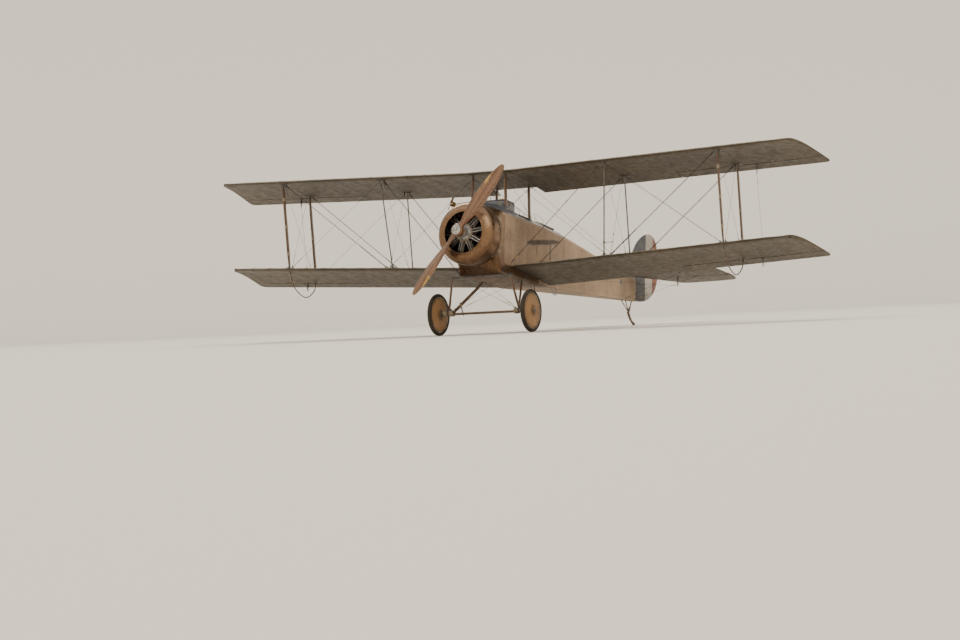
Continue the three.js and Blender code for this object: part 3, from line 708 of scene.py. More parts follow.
def rubber(name):
    """Old grey-brown rubber, dusty on the tread."""
    f = Finish(name, Specular_IOR_Level=0.3)
    patch = f.noise(9, 6)
    tone = f.over((0.022, 0.017, 0.013), (0.05, 0.038, 0.027), patch, 0.35, 0.7)
    tone = f.over(tone, (0.13, 0.09, 0.055), f.noise(38, 6, rough=0.65), 0.56, 0.76, 0.45)
    return f.set(Base_Color=tone, Roughness=f.between(patch, 0.3, 0.7, 0.68, 0.88),
                 Normal=f.bump(f.noise(160, 5), 0.3, 0.0008))


def wheel_linen(name):
    """Doped wheel cover, oily round the hub and muddy at the rim."""
    f = doped_linen(name, palette().wheel_cover, 0.5, streak=0.15)
    hub = joint_place("wheel_port_spin")
    y, z = (f.math("SUBTRACT", f.along(axis), middle) for axis, middle in (("Y", hub.y), ("Z", hub.z)))
    reach = f.math("SQRT", f.math("ADD", f.times(y, y), f.times(z, z)))
    reach = f.math("ADD", reach, f.wobble(f.noise(14, 6), 0.12))
    tone = f.mix(f.tone(), (0.04, 0.024, 0.012), f.between(reach, 0.055, 0.13, 0.7, 0.0))
    return f.set(Base_Color=f.over(tone, shade(palette().wheel_cover, 0.45), reach, 0.22, 0.3, 0.6))


def leather(name):
    f = Finish(name, Specular_IOR_Level=0.45)
    patch = f.noise(8, 6)
    hide = palette().leather
    tone = f.over(shade(hide, 0.6), shade(hide, 1.35), patch, 0.3, 0.72)
    tone = f.over(tone, shade(hide, 2.4), f.noise(46, 7, rough=0.7), 0.62, 0.75, 0.5)
    grain = f.bump(f.node("TexVoronoi", Vector=f.axes, Scale=420.0).outputs["Distance"], 0.45, 0.0008)
    return f.set(Base_Color=tone, Roughness=f.between(patch, 0.3, 0.7, 0.42, 0.62),
                 Normal=f.bump(f.noise(24, 4), 0.25, 0.003, grain))


def two_tone(f, dark, light, scale, rough):
    """A plain material, mottled between two colours and two levels of roughness."""
    return f.set(Base_Color=f.mix(dark, light, f.noise(scale, 5)),
                 Roughness=f.between(f.noise(30), 0.3, 0.7, *rough))


def webbing(name):
    f = two_tone(Finish(name, Sheen_Weight=0.2), (0.36, 0.29, 0.19), (0.5, 0.42, 0.29), 20, (0.8, 0.92))
    return f.set(Normal=f.bump(f.weave(0.0022), 0.6, 0.0008))


def cordage(name):
    """Bound cord and rubber rope."""
    f = two_tone(Finish(name), (0.2, 0.16, 0.11), (0.34, 0.28, 0.2), 40, (0.78, 0.92))
    return f.set(Normal=f.bump(f.weave(0.0016), 0.7, 0.001))


def glass(name):
    """Thin windscreen sheet with a little dust."""
    f = Finish(name, Transmission_Weight=0.96, IOR=1.3, Specular_IOR_Level=0.5)
    dust = f.noise(18, 6)
    return f.set(Base_Color=f.over((0.93, 0.94, 0.92), (0.8, 0.78, 0.7), dust, 0.5, 0.8),
                 Roughness=f.between(dust, 0.45, 0.8, 0.02, 0.12))


def dial_face(name):
    return two_tone(Finish(name, Coat_Weight=0.9, Coat_Roughness=0.04), (0.012, 0.012, 0.013),
                    (0.03, 0.03, 0.03), 60, (0.4, 0.6))


def dial_ink(name):
    return two_tone(Finish(name), (0.62, 0.58, 0.46), (0.75, 0.72, 0.6), 90, (0.5, 0.7))


def strut_shade(factor):
    return shade(palette().strut, factor)


MAKERS = {make.__name__: make for make in (
    wing_tape, rudder_linen, cowl_metal, decking_metal, propeller_wood, rubber, wheel_linen, leather, webbing,
    cordage, glass, dial_face, dial_ink)}
MAKERS |= {
    "wing_linen": lambda name: doped_linen(name, palette().wing_dope, 0.42, RIB_START),
    "body_linen": lambda name: oily(doped_linen(name, palette().body_dope, 0.42, gloss=0.6, streak=0.12)),
    "body_tape": lambda name: oily(doped_linen(name, shade(palette().body_dope, 1.12), 0.4, streak=0.12)),
    "strut_wood": lambda name: wood(name, palette().strut, strut_shade(0.5), (2.2, 2.2, 0.12)),
    "board_wood": lambda name: wood(name, strut_shade(1.3), strut_shade(0.75), (2.2, 0.15, 2.2), coat=0.15),
    "panel_wood": lambda name: wood(name, strut_shade(1.5), palette().strut, (0.15, 2.2, 2.2), rings=14),
}


# Covered surfaces: wings, ailerons, tail and rudder

TAPE_HALF = 0.02                       # half the width of the tape over a rib
TAPE_PROUD = 0.0011                    # how far it stands off the cloth


def covered(bm, axis, ribs, sag, fade, cuts):
    """Lets a form's cloth hang in between the ribs, which stand across the axis, and raises a tape over each.

    sag is the depth between two ribs, fade gives its share at a point, and cuts are more (axis, places)."""
    across = [v.co[axis] for v in bm.verts]
    stations = [min(across), *ribs, max(across)]
    spans = list(zip(stations, stations[1:]))
    places = [a + (b - a) * t for a, b in spans for t in (0.16, 0.34, 0.5, 0.66, 0.84)]
    places += [rib + reach for rib in ribs for reach in (-TAPE_HALF, TAPE_HALF)]
    for extra_axis, extra in cuts:
        sliced(bm, extra, extra_axis)
    sliced(bm, sorted(places), axis)

    bm.normal_update()
    shifts = []
    for v in bm.verts:
        place = v.co[axis]
        a, b = next(((a, b) for a, b in spans if a <= place <= b and b - a > 1e-6), (place, place + 1))
        hang = sin(pi * (place - a) / (b - a)) * min(1.0, (b - a) / RIB_GAP) * (1 - abs(v.normal[axis]))
        shifts.append((v, v.normal * (-sag * fade(v.co) * max(0.0, hang))))
    for v, shift in shifts:
        v.co += shift

    bands = [f for f in bm.faces if abs(f.normal[axis]) < 0.8
             and any(abs(f.calc_center_median()[axis] - rib) < TAPE_HALF * 0.98 for rib in ribs)]
    for face in bands:
        face.material_index = 1
    if bands:
        bmesh.ops.inset_region(bm, faces=bands, thickness=0.0008, depth=TAPE_PROUD, use_even_offset=True)


def cover(node, ribs, sag, fade, body="airframe", axis=0, cuts=(), bm=None, name=None, slot="wing_fabric",
          finishes=("wing_linen", "wing_tape")):
    """Makes the covering of a CAD node, from a copy of it unless a form is given."""
    bm = bm or node_copy(node)
    covered(bm, axis, ribs, sag, fade, cuts)
    piece = Piece(name or f"{node}_cover", *finishes)
    piece.add(bm, finish=None, outward=False)
    piece.done(body, slot, [node])


def ramp(value, low, high):
    """Share from 0 to 1 as a value runs from low to high."""
    return min(1.0, max(0.0, (value - low) / (high - low)))


def held(low, high, rise, fall):
    """Share of the sag for cloth held at two places fore and aft, with the lengths over which it comes up."""
    return lambda point: ramp(point.y, low, low + rise) * (1 - ramp(point.y, high - fall, high))


WING_LEADS = {"upper": 0.882, "lower": 1.199}     # leading edges, aft of the propeller
CHORD = 1.415
SPARS = {"front": 0.154, "rear": 1.03}            # aft of the leading edge
AILERON_LEAD = 1.115
END_GAP = 0.06                         # least distance from a wing panel's end to its first rib


def wing_fade(level):
    """Cloth is held up by the nose boards, the rear spar and the trailing edge."""
    lead = WING_LEADS[level]
    share = held(lead + 0.02 * CHORD, lead + 0.99 * CHORD, 0.14 * CHORD, 0.2 * CHORD)
    return lambda p: share(p) * (1 - 0.45 * math.exp(-((p.y - lead - SPARS["rear"]) / (0.04 * CHORD)) ** 2))


def wing_ribs(node):
    """Ribs at whole steps out from the middle, kept clear of both ends of a node."""
    low, high = (corner.x for corner in corners(node))
    sign = 1 if low > 0 else -1
    near, far = sorted((abs(low), abs(high)))
    first, last = (near + END_GAP - RIB_START) / RIB_GAP, (far - END_GAP - RIB_START) / RIB_GAP
    return sorted(sign * (RIB_START + RIB_GAP * i) for i in range(math.ceil(first), math.floor(last) + 1))


def wing_panels():
    for level in WING_LEADS:
        for side, _ in SIDES:
            node = f"{level}_wing_{side}"
            cover(node, wing_ribs(node), sizes().wing_sag, wing_fade(level))
    cover("upper_centre_section", [-0.27, -0.09, 0.09, 0.27], sizes().wing_sag, wing_fade("upper"),
          name="centre_section_cover")


def ailerons():
    for level, lead in WING_LEADS.items():
        for side, _ in SIDES:
            node = f"aileron_{level}_{side}"
            cover(node, wing_ribs(node), sizes().wing_sag * 0.7,
                  held(lead + AILERON_LEAD, lead + CHORD, 0.06, 0.12), node)


def tail_surfaces():
    ribs = [0.4, 0.7, 1.0, 1.3, 1.6]
    hinge = joint_place("elevator_port_hinge").y
    sag, over_elevator = sizes().tail_sag, held(hinge + 0.01, 8.03, 0.1, 0.16)
    cover("tailplane", [-r for r in ribs[::-1]] + ribs, sag, held(6.45, hinge - 0.03, 0.12, 0.12))
    for side, sign in SIDES:
        node = f"elevator_{side}"
        cover(node, sorted(sign * r for r in ribs[1:]), sag, over_elevator, node)


def rudder_cover():
    bm = node_copy("rudder")
    rounded(bm, sharp(bm, 1.2), 0.0165, 4)

    def share(point):
        return max(0.0, 1 - ((point.y - 7.45) / 0.7) ** 2 - ((point.z - 0.5) / 0.8) ** 2) ** 0.5

    cover("rudder", [-0.02, 0.22, 0.46, 0.7, 0.92, 1.1], sizes().tail_sag * 1.6, share, "rudder", 2,
          [(1, [6.9 + 0.12 * i for i in range(11)])], bm, slot="rudder_fabric", finishes=["rudder_linen"] * 2)


# Fuselage

# Values of the body's lines at stations, straight in between
HALF_WIDTH = ((2.4, 0.38), (7.03, 0.03))
KEEL = ((2.2, -0.6), (7.03, -0.165))
EDGE = ((3.0, 0.42), (7.03, 0.25))
DECK_RISE = ((0.8, 0.115), (1.0, 0.2), (1.5, 0.2), (1.64, 0.15), (3.3, 0.15), (6.3, 0.014), (7.03, 0.008))


def on_line(line, y):
    for (a, low), (b, high) in zip(line, line[1:]):
        if y <= b:
            return low + (high - low) * ramp(y, a, b)
    return line[-1][1]


def body_at(y):
    """Half width, keel, top edge and rise of the decking at a station."""
    return [on_line(line, y) for line in (HALF_WIDTH, KEEL, EDGE, DECK_RISE)]


def deck_arch(y):
    """Radius and middle height of the decking's arch at a station."""
    half, _, edge, rise = body_at(y)
    radius = (half * half + rise * rise) / (2 * rise)
    return radius, edge + rise - radius


def deck_height(x, y):
    radius, middle = deck_arch(y)
    return middle + math.sqrt(radius * radius - x * x)


def deck_point(y, share, lift=0.0):
    """A point on the rounded decking: share runs from -1 at the starboard edge to 1 at the port edge."""
    radius, middle = deck_arch(y)
    turn = math.acos((body_at(y)[2] - middle) / radius) * share
    return Vector(((radius + lift) * sin(turn), y, middle + (radius + lift) * cos(turn)))


def on_deck(y, share, lift=0.0, side=None):
    """A place on the decking, facing away from it."""
    return at(*deck_point(y, share, lift), deck_point(y, share, 1) - deck_point(y, share), side)


def on_side(y, z, sign, out=0.0, side=None):
    """A place on the body's side, facing away from it."""
    return at(sign * (body_at(y)[0] + out), y, z, (sign, 0, 0), side)


def side_share(point):
    """Cloth on the side is held by the upper and lower rails."""
    _, keel, edge, _ = body_at(point.y)
    return max(0.0, sin(pi * ramp(point.z, keel, edge))) ** 0.7


def outer_share(point):
    return side_share(point) if abs(point.x) > body_at(point.y)[0] - 0.004 else 0.0


def belly_share(point):
    return cos(pi / 2 * min(1, abs(point.x) / 0.355)) if point.z < body_at(point.y)[1] + 0.01 else 0


def rear_share(point):
    half, keel, edge, _ = body_at(point.y)
    if point.z > edge - 0.002:
        return abs(sin(5 * pi * (point.x / half + 1) / 2)) * 0.5
    return cos(pi / 2 * point.x / half) if point.z < keel + 0.004 else side_share(point)


def fuselage_cloth():
    forward, aft = [1.22, 1.66, 2.24, 2.56], [3.86, 4.42, 4.98, 5.54, 6.08, 6.56]
    levels = (2, [-0.5 + 0.115 * i for i in range(8)])
    sag, linen = sizes().body_sag, {"axis": 1, "slot": "pale_fabric", "finishes": ("body_linen", "body_tape")}
    for side, _ in SIDES:
        cover(f"side_panel_{side}", forward, sag, outer_share, cuts=[levels], **linen)
    cover("belly_panel", forward, sag, belly_share, name="belly_cover",
          cuts=[(0, spread(-0.24, 0.24, 5))], **linen)
    bm = node_copy("rear_fuselage")
    rails = [e for e in sharp(bm, 0.6) if abs((e.verts[1].co - e.verts[0].co).normalized().y) > 0.9]
    rounded(bm, rails, 0.01, 3)
    cover("rear_fuselage", aft, sag, rear_share, bm=bm,
          cuts=[levels, (0, spread(-0.342, 0.342, 19))], **linen)


def edge_strips():
    """Tapes that close the cloth along the rails, and the lacing down the sides behind the cockpits."""
    piece = Piece("rail_tapes", "body_tape", "cordage", "brass")
    lace_y, (_, keel, edge, _) = 3.3, body_at(3.3)
    for sign in SIGNS:
        for low in (True, False):
            path = []
            for y in spread(0.82, 6.98, 28):
                half, bottom, top, _ = body_at(y)
                path.append((sign * (half + 0.0012), y, bottom + 0.022 if low else top - 0.022))
            piece.strap(path, 0.0024, 0.032, side=PORTWARD)
        holes = [(lace_y + k * 0.018, z) for i, z in enumerate(spread(keel + 0.06, edge - 0.06, 13))
                 for k in ((1, -1) if i % 2 else (-1, 1))]
        piece.spun([(2.6, 0), (5.5, 0), (5.5, 1.8), (2.6, 1.8)], 12,
                   [on_side(y, z, sign) for y, z in holes], 2)
        piece.bar([on_side(y, z, sign, 0.0035).translation for y, z in holes], 0.0017, 6, 1)
    piece.done()


PANEL = {"front": 0.915, "foot": -0.415, "corner": 0.085}    # where the pale cloth begins, and its corner


def side_plates():
    """Metal plates round the front and foot of the pale side cloth, screwed down over a tape."""
    piece = Piece("side_plates", "cowl_metal", "steel", "body_tape")
    front, foot, corner = PANEL.values()
    edge = [(front, 0.412), *arc((front + corner, foot + corner), corner, 180, 270, 10), (2.2, foot)]
    outline = edge + [(2.2, -0.598), (0.803, -0.598), (0.803, 0.412)]
    heads = ([(0.9, z) for z in spread(0.38, -0.295, 10)] + [(0.815, z) for z in spread(0.38, -0.5, 12)]
             + [(y, -0.43) for y in spread(1.05, 2.09, 14)] + [(y, -0.585) for y in spread(0.84, 2.12, 17)])
    strip = [(a, b + 0.005) for a, b in flat(0.0028, 0.016)]
    for sign in SIGNS:
        piece.add(plate([(y, z * sign) for y, z in outline], 0.0032, 0.0008),
                  at(sign * 0.379, 0, 0, (sign, 0, 0), (0, 1, 0)))
        piece.add(swept(strip, places_along([(sign * 0.3805, y, z) for y, z in edge], PORTWARD)), finish=2)
        piece.screws(0.003, [at(sign * 0.3822, y, z, (sign, 0, 0)) for y, z in heads])
    piece.done()


def steps_and_doors():
    """Stirrup steps under the port side, and inspection doors."""
    piece = Piece("steps_and_doors", "steel", "decking_metal", "brass")
    for y in (1.95, 2.84):
        half, keel, _, _ = body_at(y)
        down = [(-0.006, -0.07, 0.05), (0.012, -0.066, -0.05), (0.03, -0.045, -0.11), (0.033, 0, -0.118)]
        path = down + [(a, -b, c) for a, b, c in down[-2::-1]]
        piece.bar(smooth_path([(half + a, y + b, keel + c) for a, b, c in path], 5), 0.006)
        piece.box(0.03, 0.1, 0.007, 0.002, moved(half + 0.033, y, keel - 0.116))
    corners_of = [((0.055, 0.035), 0), ((-0.055, 0.035), 90), ((-0.055, -0.035), 180), ((0.055, -0.035), 270)]
    for y, z, sign in ((3.6, 0.05, 1), (6.2, 0.08, 1), (6.2, 0.08, -1)):
        outline = [p for middle, start in corners_of for p in arc(middle, 0.01, start, start + 90, 4)]
        piece.add(plate(outline, 0.0016, 0.0005), on_side(y, z, sign, -0.003, (0, 1, 0)), 1)
        half = body_at(y)[0] - 0.0014
        piece.screws(0.0035, [at(sign * half, y + a, z + b, (sign, 0, 0))
                              for a in (-0.052, 0.052) for b in (-0.032, 0.032)], 2)
    piece.done()


COCKPITS = {
    "front": {"front": 1.66, "back": 2.24, "half": 0.25, "seat": 1.83, "screen": 1.6, "squab": 0.175},
    "rear": {"front": 2.56, "back": 3.13, "half": 0.235, "seat": 2.73, "screen": 2.5, "squab": 0.165},
}
CORNER = 0.17                          # radius of a cockpit opening's corners


def decking():
    """Sheet decking with its straps, rivets and louvres."""
    piece = Piece("decking_skin", "decking_metal", "bright_steel")
    piece.add(node_copy("top_decking"), outward=False)
    for y in (0.815, 1.0, 1.25, 1.5, 1.635, 2.4, 3.285):
        path = [deck_point(y, share, 0.0012) for share in spread(-1, 1, 33)]
        piece.strap(path, 0.0016, 0.028, side=on_deck(y, -1).col[2].xyz)
        piece.screws(0.0026, [on_deck(y + shift, share, 0.0018) for shift in (-0.007, 0.007)
                              for share in spread(-0.97, 0.97, 27)])
    for sign in SIGNS:
        piece.screws(0.0024, [on_deck(y, sign * 0.985, MM) for y in spread(0.83, 3.28, 64)])
        piece.add(block(0.15, 0.026, 0.012, 0.005, 3),
                  [on_deck(y, sign * 0.66, side=UP) for y in spread(1.07, 1.4, 7)])
    piece.done(slot="decking_metal", replaces=["top_decking"])


def tank_cover():
    """Raised cover of the fuel tank ahead of the front screen, with straps, a filler and a vent."""
    piece = Piece("tank_cover", "decking_metal", "steel", "brass")
    half, front, back, top, corner = 0.27, 1.15, 1.51, 0.715, 0.06
    y = (front + back) / 2
    piece.add(block(2 * half, back - front, 0.2, corner, 6), moved(0, y, top - 0.1))
    over = [(-half - MM, top - 0.1), *arc((corner - half, top - corner), corner + MM, 180, 90, 6),
            *arc((half - corner, top - corner), corner + MM, 90, 0, 6), (half + MM, top - 0.1)]
    for place in (front + 0.085, back - 0.085):
        piece.strap([(x, place, z) for x, z in over], 0.0024, 0.026, 1, (-1, 0, 0))
    piece.spun([(0, 30), (20, 30), (24, 26), (50, 22), (52, 12), (60, 10), (62, 0), (0, -4)], 32,
               moved(0.09, y, top), 2)
    piece.box(0.074, 0.012, 0.014, 0.003, moved(0.09, y, top + 0.032), 2)
    piece.bar(smooth_path([(-0.12, y, top - 0.01), (-0.12, y, top + 0.05), (-0.12, y + 0.02, top + 0.075),
                           (-0.12, y + 0.05, top + 0.07)], 4), 0.006, 10, 2)
    piece.done()


def rim_path(cockpit, lift):
    """The cockpit opening's edge on the decking."""
    steps = 7
    half, front, back = (COCKPITS[cockpit][name] for name in ("half", "front", "back"))
    middle, x, y0, y1 = (front + back) / 2, half - CORNER, front + CORNER, back - CORNER
    plan = [*arc((x, y0), CORNER, -90, 0, steps), (half, middle),
            *arc((x, y1), CORNER, 0, 90, steps), (0, back),
            *arc((-x, y1), CORNER, 90, 180, steps), (-half, middle),
            *arc((-x, y0), CORNER, 180, 270, steps), (0, front)]
    return [Vector((a, b, deck_height(a, b) + lift)) for a, b in plan]


def coamings():
    """Padded leather rolls laced round the cockpits' edges."""
    for cockpit in COCKPITS:
        places = places_along(smooth_path(rim_path(cockpit, 0.004), 2, loop=True), UP, loop=True)
        places = [sized(place, 1 + 0.05 * sin(i * 2.4)) for i, place in enumerate(places)]
        roll = Piece(f"coaming_{cockpit}", "leather")
        roll.add(swept(circle(sizes().coaming, 14), places, loop=True))
        roll.done(crease=60)
        lace = Piece(f"coaming_lace_{cockpit}", "cordage")
        for place in places[::2]:
            leaning = place @ Matrix.Rotation(0.35, 4, "X")
            lace.add(ring(hoop(0.0222, 12, leaning), 0.0013, 5, place.col[2].xyz))
        lace.done()


def windscreens():
    """Small three-sided screens in thin metal frames, ahead of each cockpit."""
    wide, wing, height, lean = 0.13, 0.12, 0.17, radians(22)
    for cockpit, c in COCKPITS.items():
        pane = Piece(f"windscreen_{cockpit}", "glass")
        rim = Piece(f"windscreen_frame_{cockpit}", "bright_steel", "brass")

        def spot(x, up):
            """A point of the screen: its sides turn back from the middle panel."""
            y = c["screen"] + max(0.0, abs(x) - wide) * 0.62
            return Vector((x, y + sin(lean) * up, deck_height(x, y) + 0.004 + cos(lean) * up))

        for a, b in ((-wide - wing, -wide), (-wide, wide), (wide, wide + wing)):
            foot = [spot(x, 0) for x in spread(a, b, 7)]
            for i, p in enumerate(foot):
                p.y += math.tan(lean) * (p.z - foot[0].z - (foot[-1].z - foot[0].z) * i / 6)
            outline = foot + [spot(x, height * (0.55 if abs(x) > wide else 1)) for x in (b, a)]
            bm = bmesh.new()
            face = bm.faces.new([bm.verts.new(p) for p in outline])
            bm.normal_update()
            facing = face.normal.copy()
            thicken(bm, face, facing * 3 * MM)
            pane.add(bm)
            rim.add(ring(outline, 0.0042, side=facing))
            clips = [moved(*spot(a + 0.015, 0)), moved(*spot(b - 0.015, 0))]
            rim.box(0.016, 0.022, 0.01, 0.002, clips, 1)
            rim.screws(0.003, [clip @ moved(0, 0, 0.005) for clip in clips])
        pane.done()
        rim.done()


# Cockpits

DIALS = ((-0.2, 0, 0.04), (-0.095, 0.035, 0.042), (0.01, 0.02, 0.036), (0.105, 0.035, 0.042),
         (0.21, 0, 0.034))             # place across, height and radius


def instruments():
    """A board of dials and switches in each cockpit."""
    piece = Piece("instrument_boards", "panel_wood", "brass", "dial_face", "dial_ink", "bright_steel")
    board = [(-0.33, -0.14), (0.33, -0.14), (0.33, 0), (0.2, 0.055), (0, 0.075), (-0.2, 0.055), (-0.33, 0)]
    for c in COCKPITS.values():
        base = at(0, c["front"] + 0.005, 0.44, (0, 1, 0.12), (-1, 0, 0))
        piece.add(plate(board, 0.012, 0.002), base)
        for x, up, r in DIALS:
            place = base @ moved(x, up - 0.04, 0.012)
            rim = ((0, 12), (0.86, 12), (0.9, 17), (1, 17), (1.04, 6), (1.04, 0), (0, 0))
            face = ((0, 12.8), (0.85, 12.8), (0.85, 11.2), (0, 11.2))
            for finish, outline in ((1, rim), (2, face)):
                piece.add(turned([(r * out, MM * up) for out, up in outline], 32), place, finish)
            marks = [(135 - 27 * i, 0.7, 0.2, 0.0132) for i in range(11)]
            pointer = (1100 * x, 0.26, 0.62, 0.0138)
            for turn, out, length, lift in marks + [pointer]:
                mark = place @ rotated(turn) @ moved(r * out, 0, lift)
                piece.box(r * length, 0.0014, 0.0006, 0, mark, 3)
            piece.screws(0.004, place @ moved(0, 0, 0.0142))
        levers = [base @ moved(x, -0.1, 0.012) for x in (-0.29, -0.15, 0.16, 0.29)]
        piece.spun([(0, 20), (6, 20), (8, 12), (14, 10), (15, 0), (0, 0)], 16, levers, 1)
        piece.bar([(0, 0, 0.012), (0, 0.012, 0.034)], 0.0024, 6, 4, levers)
    piece.done()


def cockpit_frames():
    """Wooden frames, rails, floor boards and brace wires that show through the openings."""
    piece = Piece("cockpit_frames", "board_wood", "wire_steel")
    frames = (1.3, 1.68, 2.2, 2.58, 3.1)
    for sign in SIGNS:
        for y in frames:
            half, keel, edge, _ = body_at(y)
            piece.box(0.024, 0.026, edge - keel - 0.06, 0.003,
                      moved(sign * (half - 0.038), y, (edge + keel) / 2))
        for line, lift in ((1, 0.045), (2, -0.02)):
            piece.strap([(sign * (body_at(y)[0] - 0.04), y, body_at(y)[line] + lift)
                         for y in spread(1.2, 3.25, 12)], 0.026, 0.026)
        for y0, y1 in zip(frames, frames[1:]):
            for low, high, deep in ((y0, y1, 0.052), (y1, y0, 0.057)):
                (wide, keel, _, _), (narrow, _, edge, _) = body_at(low), body_at(high)
                foot, head = (wide - deep, low, keel + 0.06), (narrow - deep, high, edge - 0.04)
                piece.bar([(sign * x, y, z) for x, y, z in (foot, head)], 0.0016, 6, 1)
    for y0, y1 in ((1.24, 1.82), (2.28, 2.7)):
        z0, z1 = (body_at(y)[1] + 0.04 for y in (y0, y1))
        piece.box(0.06, y1 - y0, 0.01, 0.002, [at(x, (y0 + y1) / 2, (z0 + z1) / 2, (0, z0 - z1, y1 - y0))
                                               for x in spread(-0.26, 0.26, 9)])
    piece.done()


def flying_controls():
    """A stick with a ring grip, a rudder bar and a throttle for each seat."""
    piece = Piece("flying_controls", "steel", "leather", "brass", "board_wood")
    for c in COCKPITS.values():
        y, bar_y = c["seat"] - 0.13, c["seat"] - 0.5
        floor, half = body_at(y)[1] + 0.045, body_at(y)[0]
        piece.bar([(0, y, floor), (0, y - 0.01, floor + 0.36), (0, y + 0.015, -0.04)], 0.0125, 12)
        grip = [(0.045 * a, y + 0.02, 0.01 + 0.055 * b) for a, b in circle(1, 20)]
        piece.add(ring(grip, 0.0105, 10, (0, 1, 0)), finish=1)
        piece.spun([(0, 50), (24, 45), (40, 15), (45, 0), (0, 0)], 20, moved(0, y, floor), 1)
        floor = body_at(bar_y)[1] + 0.045
        piece.box(0.5, 0.045, 0.03, 0.006, moved(0, bar_y, floor + 0.08), 3)
        piece.spun([(0, 70), (12, 70), (16, 0), (0, 0)], 14, moved(0, bar_y, floor))
        piece.box(0.08, 0.02, 0.06, 0.004, [moved(x, bar_y - 0.02, floor + 0.1) for x in (-0.2, 0.2)], 2)
        piece.add(plate(arc((0, 0), 0.05, 0, 180, 14), 0.006, MM),
                  at(half - 0.075, y + 0.1, 0.28, PORTWARD, (0, 1, 0)), 2)
        for lean in (-0.02, 0.03):
            knob = (half - 0.075, y + 0.1 + lean, 0.382)
            piece.bar([(half - 0.07, y + 0.1, 0.28), knob], 0.004)
            piece.spun([(0, 11), (8, 8), (11, 0), (8, -8), (0, -11)], 14, moved(*knob), 2)
    piece.done()


def seats():
    """Ply bucket seats with rounded edges and lap belts."""
    for cockpit, c in COCKPITS.items():
        bm = node_copy(f"{cockpit}_seat")
        rounded(bm, sharp(bm, 0.8), 0.005)
        piece = Piece(f"{cockpit}_seat_frame", "board_wood")
        piece.add(bm, outward=False)
        piece.done(slot="seat_wood", replaces=[f"{cockpit}_seat"])
        belt = Piece(f"{cockpit}_belt", "webbing", "brass")
        y = c["seat"] + 0.24
        for sign in SIGNS:
            path = smooth_path([(sign * x, y + back, z) for x, back, z in (
                (0.222, 0, -0.3), (0.22, -0.01, -0.12), (0.18, -0.03, -0.04), (0.11, -0.05, -0.032),
                (0.05, -0.08, -0.03))])
            belt.strap(path, 0.0028, 0.048, side=UP)
            belt.box(0.05, 0.034, 0.005, 0.0015, moved(sign * 0.045, y - 0.08, -0.026), 1)
        belt.done()


def seat_cushions():
    """Buttoned leather squabs on the seat boards, blown up as cloth and then tufted."""
    thick, deep = sizes().cushion, 0.285
    for cockpit, c in COCKPITS.items():
        half, top = c["squab"], surface(f"{cockpit}_seat", 0.0, c["seat"] + 0.12)
        middle = Vector((0, c["seat"] + 0.165, top + thick / 2 + 0.006))
        form = Piece(f"{cockpit}_cushion", "leather")
        form.add(block(2 * half - 0.03, deep - 0.03, thick - 0.012, 0.014, 3), moved(*middle))
        cushion = form.done(crease=80)
        plump(cushion, 0.012)
        tuft(cushion, middle, half, deep)


def plump(cushion, limit):
    """Blows a pad up with the cloth solver and keeps no point further than the limit from where it was."""
    scene = bpy.context.scene
    remesh = cushion.modifiers.new("even_mesh", "REMESH")
    remesh.mode, remesh.voxel_size = "VOXEL", 0.006
    apply_modifiers(cushion)
    before = [v.co.copy() for v in cushion.data.vertices]
    settings = cushion.modifiers.new("stuffing", "CLOTH").settings
    settings.use_pressure = True
    settings.uniform_pressure_force = 4
    settings.effector_weights.gravity = 0
    for step in range(1, 21):
        scene.frame_set(step)
    apply_modifiers(cushion)
    scene.frame_set(1)
    for v, start in zip(cushion.data.vertices, before):
        shift = v.co - start
        if shift.length > limit:
            v.co = start + shift.normalized() * limit


def apply_modifiers(made):
    """Replaces the object's mesh with its evaluated one and drops its modifiers."""
    graph = bpy.context.evaluated_depsgraph_get()
    graph.update()
    mesh = bpy.data.meshes.new_from_object(made.evaluated_get(graph))
    old = made.data
    made.modifiers.clear()
    made.data = mesh
    bpy.data.meshes.remove(old)


def tuft(cushion, middle, half, deep):
    """Presses buttons and the seams between them into the squab, and smooths it."""
    spots = [(x * half * 0.52, y * deep * 0.26) for x in (-1, 0, 1) for y in (-1, 1)]
    seams = [half * share for share in (-0.78, -0.26, 0.26, 0.78)]
    for v in cushion.data.vertices:
        p = TO_AIRFRAME @ v.co - middle
        if p.z > 0:
            press = sum(math.exp(-((p.x - x) ** 2 + (p.y - y) ** 2) / 0.018 ** 2) for x, y in spots)
            seam = max(math.exp(-(abs(p.x - x) / 0.006) ** 2) for x in seams)
            v.co -= AIRFRAME.to_3x3() @ UP * (0.014 * min(1.0, press) + 0.004 * seam)
    smooth = cushion.modifiers.new("smooth", "SUBSURF")
    smooth.levels = smooth.render_levels = 1
    apply_modifiers(cushion)
    for polygon in cushion.data.polygons:
        polygon.use_smooth = True


# Nose, engine and propeller

ALONG_SHAFT = at(0, 0, 0, (0, 1, 0))   # turned shapes lie along the shaft, their height aft of the propeller
COWL = {"mouth": 0.35, "front": 0.17, "shoulder": 0.33, "radius": 0.51}


def outward(angle):
    """Direction away from the shaft at an angle in degrees from port."""
    return Vector((cos(radians(angle)), 0, sin(radians(angle))))


def around(count, radius, y, start=90.0, facing=None):
    """Places round the shaft, each with its third axis outwards, or along the shaft where facing is given."""
    outs, side = [outward(start + 360 * i / count) for i in range(count)], None if facing else (0, 1, 0)
    return [at(out.x * radius, y, out.z * radius, facing or out, side) for out in outs]


def cowl_reach(y):
    """Radius of the cowl's outer face at a station."""
    mouth, front, shoulder, radius = COWL.values()
    t = ramp(-y, -shoulder, -front)
    return mouth + (radius - mouth) * math.sqrt(1 - t * t)


